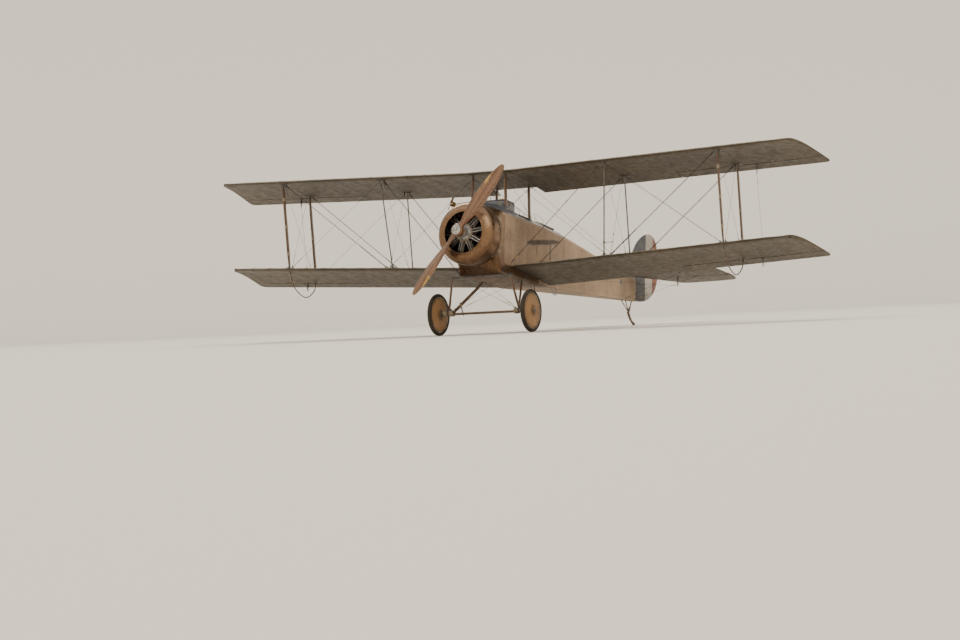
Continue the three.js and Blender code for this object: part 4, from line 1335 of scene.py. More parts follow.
def cowl():
    """Spun cowl with a rolled lip, a raised bead, lapped seams with rivets, and its fastening cable."""
    skin, lip = 0.003, 0.011
    mouth, front, shoulder, radius = COWL.values()
    outer, inner = ([(mouth + (radius - mouth - deep) * sin(t), shoulder - (shoulder - front - deep) * cos(t))
                     for t in (pi / 44 * i for i in range(1, 23))] for deep in (0, skin))
    bead = [(radius + 0.004 * sin(pi * i / 6), 0.475 + 0.016 * i / 6) for i in range(7)]
    flare = [(radius, 0.54), (radius - MM, 0.5585), (radius - 0.005, 0.5585), (radius - skin, 0.54)]
    profile = [*arc((mouth, front + lip), lip, 90, -190, 16), *outer[1:], (radius, 0.44), *bead, *flare,
               (radius - skin, 0.36), *inner[::-1][1:-1]]
    piece = Piece("engine_cowl_sheet", "cowl_metal", "steel", "brass", "wire_steel")
    piece.add(turned(profile, 128), ALONG_SHAFT)
    for angle in (38, 142, 270):
        out = outward(angle)
        path = [out * cowl_reach(y) + Vector((0, y, 0)) for y in spread(0.185, 0.535, 29)]
        side = outward(angle + 90)
        piece.add(swept([(a, b + 0.0001) for b, a in flat(0.0022, 0.032)][::-1], places_along(path, side)))
        for row in (-0.01, 0.01):
            normals = [side.cross((path[i + 1] - path[i - 1]).normalized()) for i in range(1, 28)]
            piece.screws(0.0028, [at(*(p + side * row + n * 0.0012), n) for p, n in zip(path[1:], normals)])
    piece.screws(0.003, around(90, radius, 0.549))
    # fastening cable behind the bead, with its hooks and latches
    shaft = ALONG_SHAFT @ moved(0, 0, 0.515)
    piece.add(ring(hoop(radius + 0.003, 120, shaft), 0.0028, side=(0, 1, 0)), finish=3)
    piece.box(0.018, 0.012, 0.012, 0.003, around(8, radius + 0.002, 0.515, 67.5), 1)
    piece.spun([(0, 7), (6, 6), (11, 3), (12, 0), (0, -2)], 16, around(12, radius - MM, 0.532, 75), 2)
    piece.done(slot="cowl_metal", replaces=["engine_cowl"])


FAIRING_FRONT, FAIRING_BACK, FAIRING_RADIUS = 0.56, 0.8, 0.509


def fairing_point(angle, y):
    """Outer face of the nose fairing: from the cowl's circle to the fuselage's box."""
    half, keel, edge, _ = body_at(FAIRING_BACK)
    out, radius, middle = outward(angle), *deck_arch(FAIRING_BACK)
    reach = half / abs(out.x) if abs(out.x) > 1e-6 else 9.0
    if out.z < 0:
        reach = min(reach, keel / out.z)
    else:
        top = out.z * middle + math.sqrt((out.z * middle) ** 2 - middle ** 2 + radius ** 2)
        if top * out.z > edge:
            reach = min(reach, top)
    share = (y - FAIRING_FRONT) / (FAIRING_BACK - FAIRING_FRONT)
    return out * (FAIRING_RADIUS + (reach - FAIRING_RADIUS) * share) + Vector((0, y, 0))


def nose_fairing():
    """Sheet fairing with screwed flanges and louvres."""
    piece = Piece("nose_fairing_sheet", "cowl_metal", "steel")
    outer = [[fairing_point(2 * i, y) for i in range(180)]
             for y in spread(FAIRING_FRONT, FAIRING_BACK, 13)]
    inner = [[p - Vector((p.x, 0, p.z)).normalized() * 0.004 for p in points] for points in outer[::-1]]
    piece.add(lofted(outer + inner))
    for y in (FAIRING_BACK - 0.008, FAIRING_FRONT + 0.014):
        heads = []
        for angle in spread(0, 352.5, 48):
            p, beside = fairing_point(angle, y), fairing_point(angle + 3.75, y)
            aft = fairing_point(angle, min(0.799, y + 0.005)) - fairing_point(angle, y - 0.005)
            heads.append(at(*p, (beside - p).cross(aft)))
        piece.screws(0.0032, heads)
    for sign in SIGNS:
        for i in range(5):
            angle = 90 + sign * (7 * i - 88)
            a, b = fairing_point(angle, 0.62), fairing_point(angle, 0.75)
            normal = outward(angle + 90).cross(b - a)
            piece.add(block(0.014, 0.12, 0.012, 0.005, 3), at(*(a + b) / 2, normal, (b - a).cross(normal)))
    piece.done(slot="cowl_metal", replaces=["nose_fairing"])


CYLINDERS, BARREL_Y = 9, 0.35


def cylinder_profile(gap):
    """Outline of a finned cylinder as (radius, distance from the shaft)."""
    bore, thick = 0.046, 0.0022
    profile = [(0, 0.13), (0.052, 0.13), (0.052, 0.158), (bore, 0.162)]
    reach = 0.168
    while reach < 0.412:
        fin = 0.056 - 0.006 * max(0.0, (0.26 - reach) / 0.1)
        profile += [(bore, reach), (fin, reach), (fin, reach + thick), (bore, reach + thick)]
        reach += gap
    return profile + [(bore, 0.42), (0.04, 0.43), (0.02, 0.436), (0, 0.437)]


def rotary_engine():
    """Nine finned cylinders on a bolted case, with rockers, pushrods, intake pipes and plug leads."""
    alloy, copper, brass, bright, cord = range(1, 6)
    piece = Piece("rotary_engine_detail", "engine_steel", "cast_alloy", "copper", "brass", "bright_steel",
                  "cordage")
    piece.add(turned(cylinder_profile(sizes().fin_gap), 26), around(CYLINDERS, 0, BARREL_Y))
    piece.spun([(0, 66.5), (42, 66.5), (43, 120), (60, 128), (62, 150), (84, 156), (88, 176), (118, 196),
                (128, 205), (146, 226), (150, 246), (150, 470), (125, 500), (0, 500)], 72, ALONG_SHAFT, alloy)
    rows = ((18, 0.136, 0.213, 10), (9, 0.073, 0.152, 20), (6, 0.052, 0.124, 0))
    piece.add(stud(0.0065, 0.006), [place for row in rows for place in around(*row, (0, -1, 0))], bright)
    turns = [rotated(-360 * i / CYLINDERS, "Y") for i in range(CYLINDERS)]
    for x in (-0.016, 0.016):
        front = 0.205 if x < 0 else 0.215
        piece.bar([(x * 1.4, front + 0.01, 0.125), (x, 0.286, 0.42)], 0.0052, 8, bright, turns)
        piece.spun([(0, 30), (7.5, 28), (9, 0), (0, 0)], 10,
                   [turn @ at(x * 1.4, front + 0.008, 0.122, (0, 0.22, 1)) for turn in turns], brass)
        rocker = [(x, 0.28, 0.418), (x, 0.3, 0.436), (x, 0.34, 0.446), (x, 0.37, 0.438)]
        piece.add(swept(flat(0.012, 0.008), places_along(rocker)), turns, bright)
        spring = [(x + 0.0095 * cos(a), 0.37 + 0.0095 * sin(a), 0.423 + 0.014 * a / (8 * pi))
                  for a in spread(0, 8 * pi, 49)]
        piece.bar(spring, 0.0017, 5, bright, turns)
    piece.box(0.05, 0.03, 0.02, 0.004, [turn @ moved(0, 0.325, 0.434) for turn in turns])
    piece.bar([(-0.028, 0.325, 0.446), (0.028, 0.325, 0.446)], 0.005, 8, brass, turns)
    intake = mm((45, 470, 130), (62, 475, 200), (62, 465, 300), (50, 440, 390), (20, 400, 425))
    piece.bar(smooth_path(intake, 5), 0.017, 12, copper, turns)
    piece.spun([(0, 30), (6, 30), (8, 20), (9, 10), (12, 8), (12, 0), (0, 0)], 12,
               [turn @ at(-0.04, 0.318, 0.4, (-0.75, -0.66, 0)) for turn in turns], brass)
    lead = mm((-62, 298, 400), (-68, 290, 340), (-50, 275, 240), (-30, 240, 160), (-20, 226, 142))
    piece.bar(smooth_path(lead, 4), 0.0022, 6, cord, turns)
    piece.add(stud(0.007, 0.01), [turn @ moved(x, 0.31, 0.156) for turn in turns for x in (-0.04, 0.04)],
              bright)
    piece.done("propeller_and_engine", "engine_metal", ["rotary_engine"])


BLADE_STATIONS = mm(                   # distance from the shaft, width and thickness in millimetres
    (40, 96, 84), (150, 110, 70), (300, 165, 50), (450, 200, 42), (600, 215, 36), (750, 212, 31),
    (900, 200, 26), (1030, 178, 21), (1130, 150, 17), (1210, 115, 13), (1265, 75, 9), (1288, 36, 6))
PITCH = 1.9                            # metres ahead in one turn


def blade_section():
    """Cambered section one unit wide and thick: the back is nearly flat."""
    return [(0.5 * u, v * (0.62 if v > 0 else 0.38) * (1 + 0.25 * u)) for u, v in circle(1, 28)]


def blade_path(first=0.0, last=9.0, steps=4, grown=0.0):
    """Places of the sections of a blade that points up, before it is turned round the shaft."""
    places = []
    for r, width, thick in smooth_path(BLADE_STATIONS, steps):
        if first <= r <= last:
            pitch = min(math.atan2(PITCH, 2 * pi * r), radians(62))
            sweep, face = Vector((-cos(pitch), -sin(pitch), 0)), Vector((sin(pitch), -cos(pitch), 0))
            turn = Matrix((sweep * (width + grown), face * (thick + grown), UP)).transposed().to_4x4()
            places.append(moved(0, -0.005, r) @ turn)
    return places


def propeller():
    """Laminated two-blade propeller with brass-sheathed tips, hub plates and bolts."""
    piece = Piece("propeller_boards", "propeller_wood", "brass", "bright_steel")
    turns = [rotated(90 - PROPELLER_TURN - extra, "Y") for extra in (0, 180)]
    piece.add(swept(blade_section(), blade_path()), turns)
    piece.spun([(0, -66), (62, -66), (90, -60), (100, -45), (100, 40), (90, 56), (0, 56)], 56, ALONG_SHAFT)
    piece.spun([(0, -75), (70, -75), (78, -70.5), (78, -66), (0, -66)], 48, ALONG_SHAFT, 2)
    piece.spun([(0, 56), (78, 56), (78, 61), (70, 66), (0, 66)], 48, ALONG_SHAFT, 2)
    piece.add(stud(0.0095, 0.01), around(8, 0.056, -0.0755, 0, (0, -1, 0)), 2)
    piece.spun([(0, 22), (12, 20), (22, 10), (24, 0), (0, 0)], 6, at(0, -0.0745, 0, (0, -1, 0)), 2)
    # brass sheath: the leading part of the outer blade, grown a little and cut off behind
    sheath = swept(blade_section(), blade_path(0.86, 1.3, 5, 0.0016))
    cut(sheath, (-0.055, 0, 1), (1, 0, 0.16), clear=True)
    bmesh.ops.holes_fill(sheath, edges=[e for e in sheath.edges if e.is_boundary], sides=0)
    piece.add(sheath, turns, 1)
    piece.done("propeller_and_engine", "varnished_wood", ["propeller"])


# Struts and rigging

def wing_point(level, x, aft, lift=0.0):
    """A point on the inner face of a wing: the lower wing's top or the upper wing's underside."""
    upper = level == "upper"
    side = "port" if x > 0 else "starboard"
    node = "upper_centre_section" if upper and abs(x) < 0.42 else f"{level}_wing_{side}"
    y = WING_LEADS[level] + aft
    return Vector((x, y, surface(node, x, y, not upper) + (-lift if upper else lift)))


def spindle(length, radius):
    """Turnbuckle: a barrel with tapered necks and threaded ends."""
    half, neck = length / 2, radius * 0.35
    top = [(radius, half * 0.3), (radius * 0.6, half * 0.62), (neck, half * 0.72), (neck, half), (0, half)]
    return turned([(r, -z) for r, z in top[::-1]] + top, 18)


BARREL, FITTING = 1, 2                 # numbers of the rigging's finishes, after its wire


def wire(piece, a, b, radius, barrel_at=0.16, barrel=0.0075):
    """Taut wire with forks at its ends, spliced eyes and a turnbuckle near its first end."""
    a, b = Vector(a), Vector(b)
    along = (b - a).normalized()
    piece.bar([a, b], radius)
    middle = a + along * barrel_at
    piece.add(spindle(0.1, barrel), at(*middle, along), BARREL)
    for near, far in ((-0.088, -0.05), (0.05, 0.1)):
        piece.bar([middle + along * near, middle + along * far], radius * 1.9)
    for end, ahead in ((a, along), (b, -along)):
        side = along.orthogonal()
        piece.bar([end + ahead * 0.028, end + ahead * 0.085], radius * 2)
        piece.box(0.016, 0.007, 0.034, 0.002, at(*(end + ahead * 0.014), ahead, side), FITTING)
        piece.add(pin(0.0055, 0.0075), at(*(end + ahead * 0.005), ahead.cross(side), ahead), FITTING)


def wire_piece(name):
    return Piece(name, "wire_steel", "brass", "steel")


def doubled(piece, a, b, radius, gap=0.024):
    """Two wires side by side, fore and aft, with spacers."""
    shift = Vector((0, gap / 2, 0))
    wire(piece, a - shift, b - shift, radius, 0.2)
    wire(piece, a + shift, b + shift, radius, 0.34)
    spacers = [at(*a.lerp(b, t), b - a, PORTWARD) for t in (0.33, 0.66)]
    piece.box(0.008, gap + 0.014, 0.012, 0.002, spacers, FITTING)


OUTER_X, INNER_X, CABANE_X = 4.037, 2.055, 0.3    # the struts' places, out from the middle
GEAR_ENDS = {"front": (0.835, -0.585), "rear": (1.62, -0.585)}    # inner flying wires end over the gear legs
BODY_END_X = 0.385                     # where wires and cables meet the body's side


def wing_passage(side, foot, head):
    """Where a wire passes through the lower wing: its upper and lower faces."""
    places = []
    for top in (True, False):
        point = foot
        for _ in range(4):
            x = math.copysign(max(0.4, abs(point.x)), foot.x)
            level = surface(f"lower_wing_{side}", x, point.y, top)
            point = foot.lerp(head, (level - foot.z) / (head.z - foot.z))
        places.append(point)
    return places


def bay_wires():
    """Flying, landing, inner-bay and incidence wires."""
    light, cable = sizes().wire, sizes().cable
    for side, sign in SIDES:
        piece = wire_piece(f"bay_wires_{side}")

        def end(level, x, aft, lift=0.012):
            return wing_point(level, sign * x, aft, lift)

        for spar, aft in SPARS.items():
            outer_top, inner_foot = end("upper", OUTER_X - 0.055, aft), end("lower", INNER_X + 0.05, aft)
            doubled(piece, inner_foot, outer_top, cable)
            wire(piece, end("lower", OUTER_X - 0.055, aft), end("upper", INNER_X + 0.045, aft), light, 0.18)
            root, top = Vector((sign * BODY_END_X, *GEAR_ENDS[spar])), end("upper", INNER_X - 0.045, aft)
            doubled(piece, root, top, cable * 0.9)
            cabane = end("upper", CABANE_X + 0.05, aft, 0.012 if spar == "rear" else 0.07)
            wire(piece, end("lower", INNER_X - 0.045, aft), cabane, light, 0.18)
            along = (outer_top - inner_foot).normalized()
            piece.bar([inner_foot + along * 0.1, inner_foot + along * 0.6], 0.0085, 10, FITTING)
        for face, lift in zip(wing_passage(side, root, top), SIGNS):
            piece.box(0.1, 0.05, 0.003, MM, at(*face, (0, 0.065, lift)), FITTING)
        for x in (OUTER_X, INNER_X):
            for foot, head, inward, barrel_at in (("front", "rear", 0.07, 0.15),
                                                  ("rear", "front", -0.07, 0.25)):
                low, high = end("lower", x, SPARS[foot] + inward), end("upper", x, SPARS[head] - inward)
                wire(piece, low, high, light * 0.85, barrel_at, 0.006)
        piece.done(slot="steel", replaces=[f"flying_stay_{spar}_{side}" for spar in SPARS])


def strut_fittings():
    """Plates, lugs and bolts where the struts and wires meet the spars."""
    piece = Piece("strut_fittings", "steel", "bright_steel")
    stands = [(side, sign, level, *strut) for side, sign in SIDES for level in WING_LEADS
              for strut in (("outer", OUTER_X, 0.15), ("inner", INNER_X, 0.12))]
    for side, sign, level, strut, x, wide in stands:
        for spar, aft in SPARS.items():
            lean = abs(strut_ends(f"{strut}_strut_{spar}_{side}")[level == "upper"].x) - x
            x, wide = x + lean / 2, wide + abs(lean)
            foot = wing_point(level, sign * x, aft)
            ahead, beside = wing_point(level, sign * x, aft + 0.03), wing_point(level, sign * (x + 0.03), aft)
            inward = 1 if level == "lower" else -1
            base = at(*foot, (beside - foot).cross(ahead - foot) * sign * inward, PORTWARD)
            piece.box(wide, 0.062, 0.006, 0.0015, base)
            edge = wide / 2 - 0.016
            piece.add(stud(0.006, 0.007),
                      [base @ moved(dx, dy, 0.002) for dx in (-edge, edge) for dy in (-0.019, 0.019)], 1)
            piece.box(0.004, 0.022, 0.03, MM, [base @ moved(dx * 0.72, 0, 0.013) for dx in (-edge, edge)])
    piece.done(slot="steel")


def shaped_strut(node, chord, thick, taper=0.62):
    """Streamlined strut between the ends of its CAD node, thickest in the middle, in metal sockets."""
    foot, head = strut_ends(node)
    piece = Piece(f"{node}_shaped", "strut_wood", "steel", "bright_steel", "cordage")
    along, section = (head - foot).normalized(), streamline(chord, thick, 24)
    first, last = foot + along * 0.006, head - along * 0.006

    def share(t):
        return taper + (1 - taper) * min(1.0, 1.9 * sin(pi * t))

    def sleeve(points, scales, finish=0):
        places = [sized(place, *scale) for place, scale in zip(places_along(points, PORTWARD), scales)]
        piece.add(swept(section, places), finish=finish)

    shares = spread(0, 1, 17)
    sleeve([first.lerp(last, t) for t in shares], [(share(t),) for t in shares])
    for end, ahead in ((first, along), (last, -along)):
        sleeve([end + ahead * reach for reach in (-0.004, 0.055, 0.062)],
               [(taper * grown + 0.05, taper * grown + 0.03) for grown in (1.12, 1.12, 1.03)], 1)
        for offset in (0.018, 0.04):
            for sign in SIGNS:
                bolt = end + ahead * offset + Vector((sign * thick * taper * 0.52, -chord * 0.06, 0))
                piece.spun([(0, 6), (4, 6), (5.5, 4), (5.5, -4), (0, -4)], 6, at(*bolt, (sign, 0, 0)), 2)
    if (head - foot).length > 1.0:
        for t in (0.17, 0.5, 0.83):
            sleeve([first.lerp(last, t) + along * reach for reach in (-0.03, -0.028, 0.028, 0.03)],
                   [(share(t) * grown,) for grown in (1.0, 1.06, 1.06, 1.0)], 3)
    piece.done(slot="strut_wood", replaces=[node])


def wing_struts():
    for side, _ in SIDES:
        for spar in SPARS:
            shaped_strut(f"outer_strut_{spar}_{side}", 0.085, 0.03)
            shaped_strut(f"cabane_strut_{spar}_{side}", 0.092, 0.034, 0.75)
            node = f"inner_strut_{spar}_{side}"
            foot, head = strut_ends(node)
            along = (head - foot).normalized()
            piece = Piece(f"{node}_tube", "steel", "bright_steel")
            piece.bar([foot, head], 0.011, 18)
            for end, ahead in ((foot, along), (head, -along)):
                piece.bar([end - ahead * 0.004, end + ahead * 0.045], 0.0145, 16)
                piece.add(pin(0.006, 0.018, 6), at(*(end + ahead * 0.025), PORTWARD), 1)
            if (side, spar) == ("port", "front"):
                lug = foot.lerp(head, 0.14)
                arm = lug + Vector((0.155, 0.01, 0))
                tip = arm + Vector((0.005, 0, 0.126))
                piece.bar([lug - along * 0.02, lug + along * 0.02], 0.016, 16)
                piece.bar([lug, arm], 0.005)
                piece.bar([arm - UP * 0.012, tip], 0.003, 8, 1)
                piece.spun([(4, -6), (13, -6), (10.5, 0), (13, 6), (4, 6)], 20, at(*tip, (0, 1, 0)), 1)
            piece.done(slot="steel", replaces=[node])


def cabane_wires():
    """Cross wires between the centre struts, and their foot plates on the decking."""
    piece, light = wire_piece("cabane_wires"), sizes().wire
    low, high = {}, {}
    for side, sign in SIDES:
        for spar in SPARS:
            (foot, head), out = strut_ends(f"cabane_strut_{spar}_{side}"), (sign * 0.35, 0, 1)
            low[side, spar], high[side, spar] = foot + UP * 0.05, head - UP * 0.035
            piece.box(0.06, 0.13, 0.012, 0.003, at(*(foot - UP * 0.002), out, (1, 0, -sign * 0.35)), FITTING)
            piece.screws(0.005, [at(foot.x, foot.y + dy, foot.z + 0.004, out) for dy in (-0.05, 0.05)])
    for spar in SPARS:
        wire(piece, low["port", spar], high["starboard", spar], light, 0.14, 0.006)
        wire(piece, low["starboard", spar], high["port", spar], light, 0.22, 0.006)
    for side, sign in SIDES:
        clear = Vector((sign * 0.02, 0, 0))
        for one, other, barrel_at in (("front", "rear", 0.14), ("rear", "front", 0.24)):
            wire(piece, low[side, one] + clear, high[side, other] + clear, light * 0.85, barrel_at, 0.006)
    piece.done(slot="steel")


def wind_pump():
    """Small wind-driven fuel pump on the starboard front centre strut, with its pipe."""
    foot, head = strut_ends("cabane_strut_front_starboard")
    centre = foot.lerp(head, 0.24) + Vector((-0.33, -0.1, 0))
    piece = Piece("wind_pump", "brass", "bright_steel", "copper", "strut_wood")
    along = at(*centre, (0, 1, 0))
    piece.spun([(0, -50), (24, -48), (38, -30), (44, 0), (44, 60), (32, 85), (14, 100), (0, 102)], 28, along)
    piece.spun([(0, -66), (14, -64), (18, -52), (0, -50)], 18, along, 1)
    blade = [sized(moved(0, 0.012 + 0.1 * k / 6, -0.06) @ rotated(-90, "X") @ rotated(55 - 5 * k),
                   1 - 0.06 * k, 1) for k in range(7)]
    piece.add(swept(streamline(0.006, 0.042, 14), blade), [along @ rotated(turn) for turn in (25, 205)], 3)
    reach = foot.lerp(head, 0.3)
    piece.bar([centre + Vector((0, 0.03, 0)), reach - Vector((0, 0.03, 0))], 0.009, 10, 1)
    piece.box(0.05, 0.115, 0.026, 0.004, at(*reach, head - foot, PORTWARD), 1)
    pipe = [centre + Vector((0, 0.09, 0)), centre + Vector((0.03, 0.15, -0.02))]
    pipe += [foot + Vector(step) for step in mm((-30, 20, 80), (-20, 50, 0), (10, 70, -30))]
    piece.bar(smooth_path(pipe), 0.004, 8, 2)
    piece.done(slot="steel")


LINK_X, HORN_AFT = 4.31, 1.19          # aileron horns and their link wire
HINGES_X, STRAP_AFT = (3.15, 3.9, 4.62), 1.066    # aileron hinges, with straps that end clear of the ailerons


def horn(height, chord=0.07):
    """Control horn: a rounded leaf that stands along its second axis."""
    top = height * 0.9
    outline = [(-chord / 2, 0), (chord / 2, 0), (0.012, top), *arc((0, top), 0.012, 0, 180, 6)]
    return plate(outline, 0.006, 0.0012, -0.003)


def surface_horns(piece, body, x, y, height, chord, stay_at, stay_aft, shift):
    """Horns above and below a moving surface, each with a base plate, a stay and two screws."""
    for flip in SIGNS:
        z = surface(body, x, y, flip > 0)
        leaf = at(x, y, z - flip * 0.004, PORTWARD, (0, 1, 0)) @ Matrix.Diagonal((1, flip, 1, 1))
        piece.add(horn(height, chord), leaf)
        piece.box(0.05, chord + 0.02, 0.004, MM, moved(x, y, z))
        stay = (x, y + stay_aft, surface(body, x, y + stay_aft, flip > 0))
        piece.bar([(x, y, z + flip * stay_at), stay], sizes().wire * 0.7, 6)
        dy = chord * 0.45
        piece.screws(0.004, [at(x + shift(flip), y + d, z + flip * 0.002, UP * flip) for d in (-dy, dy)])


def moving_wire(name, a, b):
    """Wire from a on the airframe to b on a moving surface, straight, with a turnbuckle and a fork near b."""
    piece = wire_piece(name)
    piece.bar([a.lerp(b, t) for t in spread(0, 1, 25)], sizes().wire * 0.9)
    along = (b - a).normalized()
    piece.add(spindle(0.08, 0.006), at(*(b - along * 0.16), along), BARREL)
    piece.box(0.014, 0.007, 0.028, 0.002, at(*(b - along * 0.012), along), FITTING)
    made = piece.done(body=None, slot="steel")
    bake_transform(made)


def aileron_horns():
    """Horns on the ailerons, with the wire that links each upper one to the lower one."""
    for side, sign in SIDES:
        tips = {}
        for level, inward in (("upper", -1), ("lower", 1)):
            body, x, y = f"aileron_{level}_{side}", sign * LINK_X, WING_LEADS[level] + HORN_AFT
            piece = Piece(f"aileron_horn_{level}_{side}", "steel", "brass")
            surface_horns(piece, body, x, y, 0.13, 0.07, 0.115, 0.19, lambda flip: 0.014 * flip)
            piece.done(body, "steel")
            tips[level] = Vector((x, y, surface(body, x, y, inward > 0) + inward * 0.118))
        middle = tips["upper"].lerp(tips["lower"], 0.5)
        for level, tip in tips.items():
            moving_wire(f"aileron_link_{level}_{side}", middle, tip)


def aileron_cables():
    """Cables from the fuselage over pulleys near the inner struts and out to the lower ailerons."""
    cheek = [(-0.024, -0.055), (0.024, -0.055), (0.014, 0.012), *arc((0, 0.012), 0.014, 0, 180, 8)]
    for side, sign in SIDES:
        piece = wire_piece(f"aileron_pulleys_{side}")
        base = wing_point("lower", sign * 2.3, SPARS["rear"] - 0.1)
        hub = base + UP * 0.05
        piece.spun([(5, -8), (30, -8), (32, -6), (27, 0), (32, 6), (30, 8), (5, 8)], 28,
                   at(*hub, (0, 1, 0)), 1)
        piece.add(plate(cheek, 0.003, 0.0006), [at(hub.x, hub.y + dy, hub.z, (0, 1, 0), PORTWARD)
                                                for dy in (-0.014, 0.014)], 2)
        piece.bar([hub - Vector((0, 0.02, 0)), hub + Vector((0, 0.02, 0))], 0.006, 10, 2)
        piece.box(0.09, 0.07, 0.005, MM, moved(*base), 2)
        guide = wing_point("lower", sign * (LINK_X - 0.5), SPARS["rear"], 0.045)
        for end in ((sign * BODY_END_X, base.y, -0.2), guide):
            piece.bar([end, hub + UP * 0.03], sizes().wire * 0.9)
        piece.box(0.02, 0.03, 0.05, 0.003, moved(guide.x, guide.y, guide.z - 0.022), 2)
        piece.done(slot="steel")
        body, x, y = f"aileron_lower_{side}", sign * LINK_X, WING_LEADS["lower"] + HORN_AFT
        moving_wire(f"aileron_cable_{side}", guide, Vector((x, y, surface(body, x, y) + 0.1)))


def hinge_fittings():
    """Hinge straps ahead of the ailerons."""
    piece = Piece("aileron_hinges", "steel", "bright_steel")
    spots = [(level, side, sign * x, flip) for level in WING_LEADS for side, sign in SIDES
             for x in HINGES_X for flip in SIGNS]
    for level, side, x, flip in spots:
        y = WING_LEADS[level] + STRAP_AFT
        z = surface(f"{level}_wing_{side}", x, y, flip > 0)
        piece.box(0.03, 0.056, 0.004, MM, moved(x, y, z))
        piece.screws(0.004, [at(x, y + dy, z + flip * 0.0015, UP * flip) for dy in (-0.016, 0.012)])
    piece.done(slot="steel")


def side_guide(y, sign, share):
    """Where a control cable leaves the body's side, at a share of its height."""
    half, keel, edge, _ = body_at(y)
    return Vector((sign * (half + 0.002), y, keel + (edge - keel) * share))


def control_cable(name, inside, tip):
    """Cable from the body to a horn on a tail surface."""
    moving_wire(name, inside, tip)


def tail_rigging():
    """Tail bracing, horns and control cables."""
    piece = wire_piece("tail_wires")
    for sign in SIGNS:
        for x, y, foot_y in ((1.15, 6.62, 6.5), (1.25, 7.2, 6.93)):
            over, under = (moved(sign * x, y, surface("tailplane", sign * x, y, top))
                           for top in (True, False))
            half, keel, _, _ = body_at(foot_y)
            wire(piece, (sign * half, foot_y, keel + 0.03), under.translation, sizes().wire, 0.15, 0.006)
            piece.box(0.05, 0.035, 0.005, MM, [over, under], FITTING)
    piece.done(slot="steel")
    for side, sign in SIDES:
        body, x, y = f"elevator_{side}", sign * 0.75, joint_place("elevator_port_hinge").y + 0.05
        horns = Piece(f"elevator_horn_{side}", "steel", "brass")
        surface_horns(horns, body, x, y, 0.17, 0.09, 0.15, 0.3, lambda flip: 0.015)
        horns.done(body, "steel")
        for flip, level, inner_y, share in ((1, "upper", 5.35, 0.9), (-1, "lower", 5.2, 0.42)):
            tip = Vector((x, y, surface(body, x, y, flip > 0) + flip * 0.155))
            control_cable(f"elevator_cable_{level}_{side}", side_guide(inner_y, sign, share), tip)
    y, z = joint_place("rudder_hinge").y + 0.04, 0.16
    horns = Piece("rudder_horns", "steel")
    for sign in SIGNS:
        horns.add(horn(0.19, 0.09), at(sign * 0.014, y, z, -UP * sign, (0, 1, 0)))
        horns.box(0.004, 0.11, 0.04, MM, moved(sign * 0.0185, y, z))
    horns.done("rudder", "steel")
    for side, sign in SIDES:
        tip = Vector((sign * 0.18, y, z))
        control_cable(f"rudder_cable_{side}", side_guide(5.6, sign, 0.62), tip)
    pins, levels = Piece("rudder_hinges", "steel", "bright_steel", "strut_wood"), (-0.1, 0.05, 0.2)
    pins.box(0.05, 0.42, 0.05, 0.006, moved(0, 6.81, 0.273), 2)
    pins.box(0.04, 0.05, 0.03, 0.003, [moved(0, 7.04, z) for z in levels])
    pins.add(pin(0.009, 0.024, 14), [moved(0, 7.052, z) for z in levels], 1)
    pins.done(slot="steel")


# Landing gear and skids

WHEEL = {"radius": 0.35, "tyre": 0.034, "rim": 0.2805, "hub": 0.062}
GEAR_APEX = 0.655                      # where the legs meet over the axle


def wheels():
    """Tyres with a ribbed tread, laced disc covers, hub flanges and valve flaps."""
    radius, tyre, rim, hub = WHEEL.values()
    tread = []
    for u, v in circle(1, 40):
        groove = 0.0009 * (1 - cos(10 * math.asin(v))) if u > 0 and abs(v) <= 0.45 else 0
        tread.append((radius - tyre + (tyre - groove) * u, tyre * 1.06 * v))
    disc = [(0.0215, hub), (0.043, hub), (0.046, hub - 0.004), (0.05, hub - 0.013)]
    disc += [(0.05 + (rim - 0.062) * t, 0.049 - 0.023 * t - 0.004 * sin(pi * t))
             for t in (i / 9 for i in range(1, 9))]
    disc += [(rim - 0.012, 0.0258), (rim - 0.006, 0.0235), (rim, 0.0222)]
    for side, sign in SIDES:
        body = f"wheel_{side}"
        middle = at(*joint_place(f"{body}_spin"), (sign, 0, 0), (0, 1, 0))
        faces = [middle @ Matrix.Diagonal((1, 1, flip, 1)) for flip in SIGNS]
        piece = Piece(f"tyre_{side}_tread", "rubber", "bright_steel")
        piece.add(turned(tread, 120), middle)
        piece.add(turned(arc((0.291, 0.021), 0.005, 0, 360, 10)[:-1], 96), faces, 1)
        piece.done(body, "tyre", [f"tyre_{side}"])
        cover = Piece(f"wheel_cover_{side}", "wheel_linen", "cordage", "steel", "bright_steel", "brass")
        cover.add(turned(disc + [(r, -w) for r, w in disc[::-1]], 96), middle)
        for face, flip in zip(faces, SIGNS):
            lace = [face @ Vector((x * (rim - deep), y * (rim - deep), proud)) for (x, y), (deep, proud)
                    in zip(circle(1, 72), ((0.024, 0.0282), (0.009, 0.0262)) * 36)]
            cover.add(ring(lace, 0.0014, 5, (sign * flip, 0, 0)), finish=1)
        cover.spun([(21.5, 63), (30, 63), (42, 61), (43.5, 42), (21.5, 42)], 40, faces, 2)
        cover.add(stud(0.0045, 0.005), [face @ rotated(60 * i + 15) @ moved(0.034, 0, hub)
                                        for face in faces for i in range(6)], 3)
        flap = middle @ moved(0.19, 0, 0.0345) @ rotated(6.5, "Y")
        cover.add(plate(circle(0.028, 24), 0.003, MM), flap)
        cover.screws(0.004, [flap @ moved(x, 0, 0.003) for x in (-0.02, 0.02)], 4)
        cover.done(body, "wheel_fabric", [f"wheel_disc_{side}"])


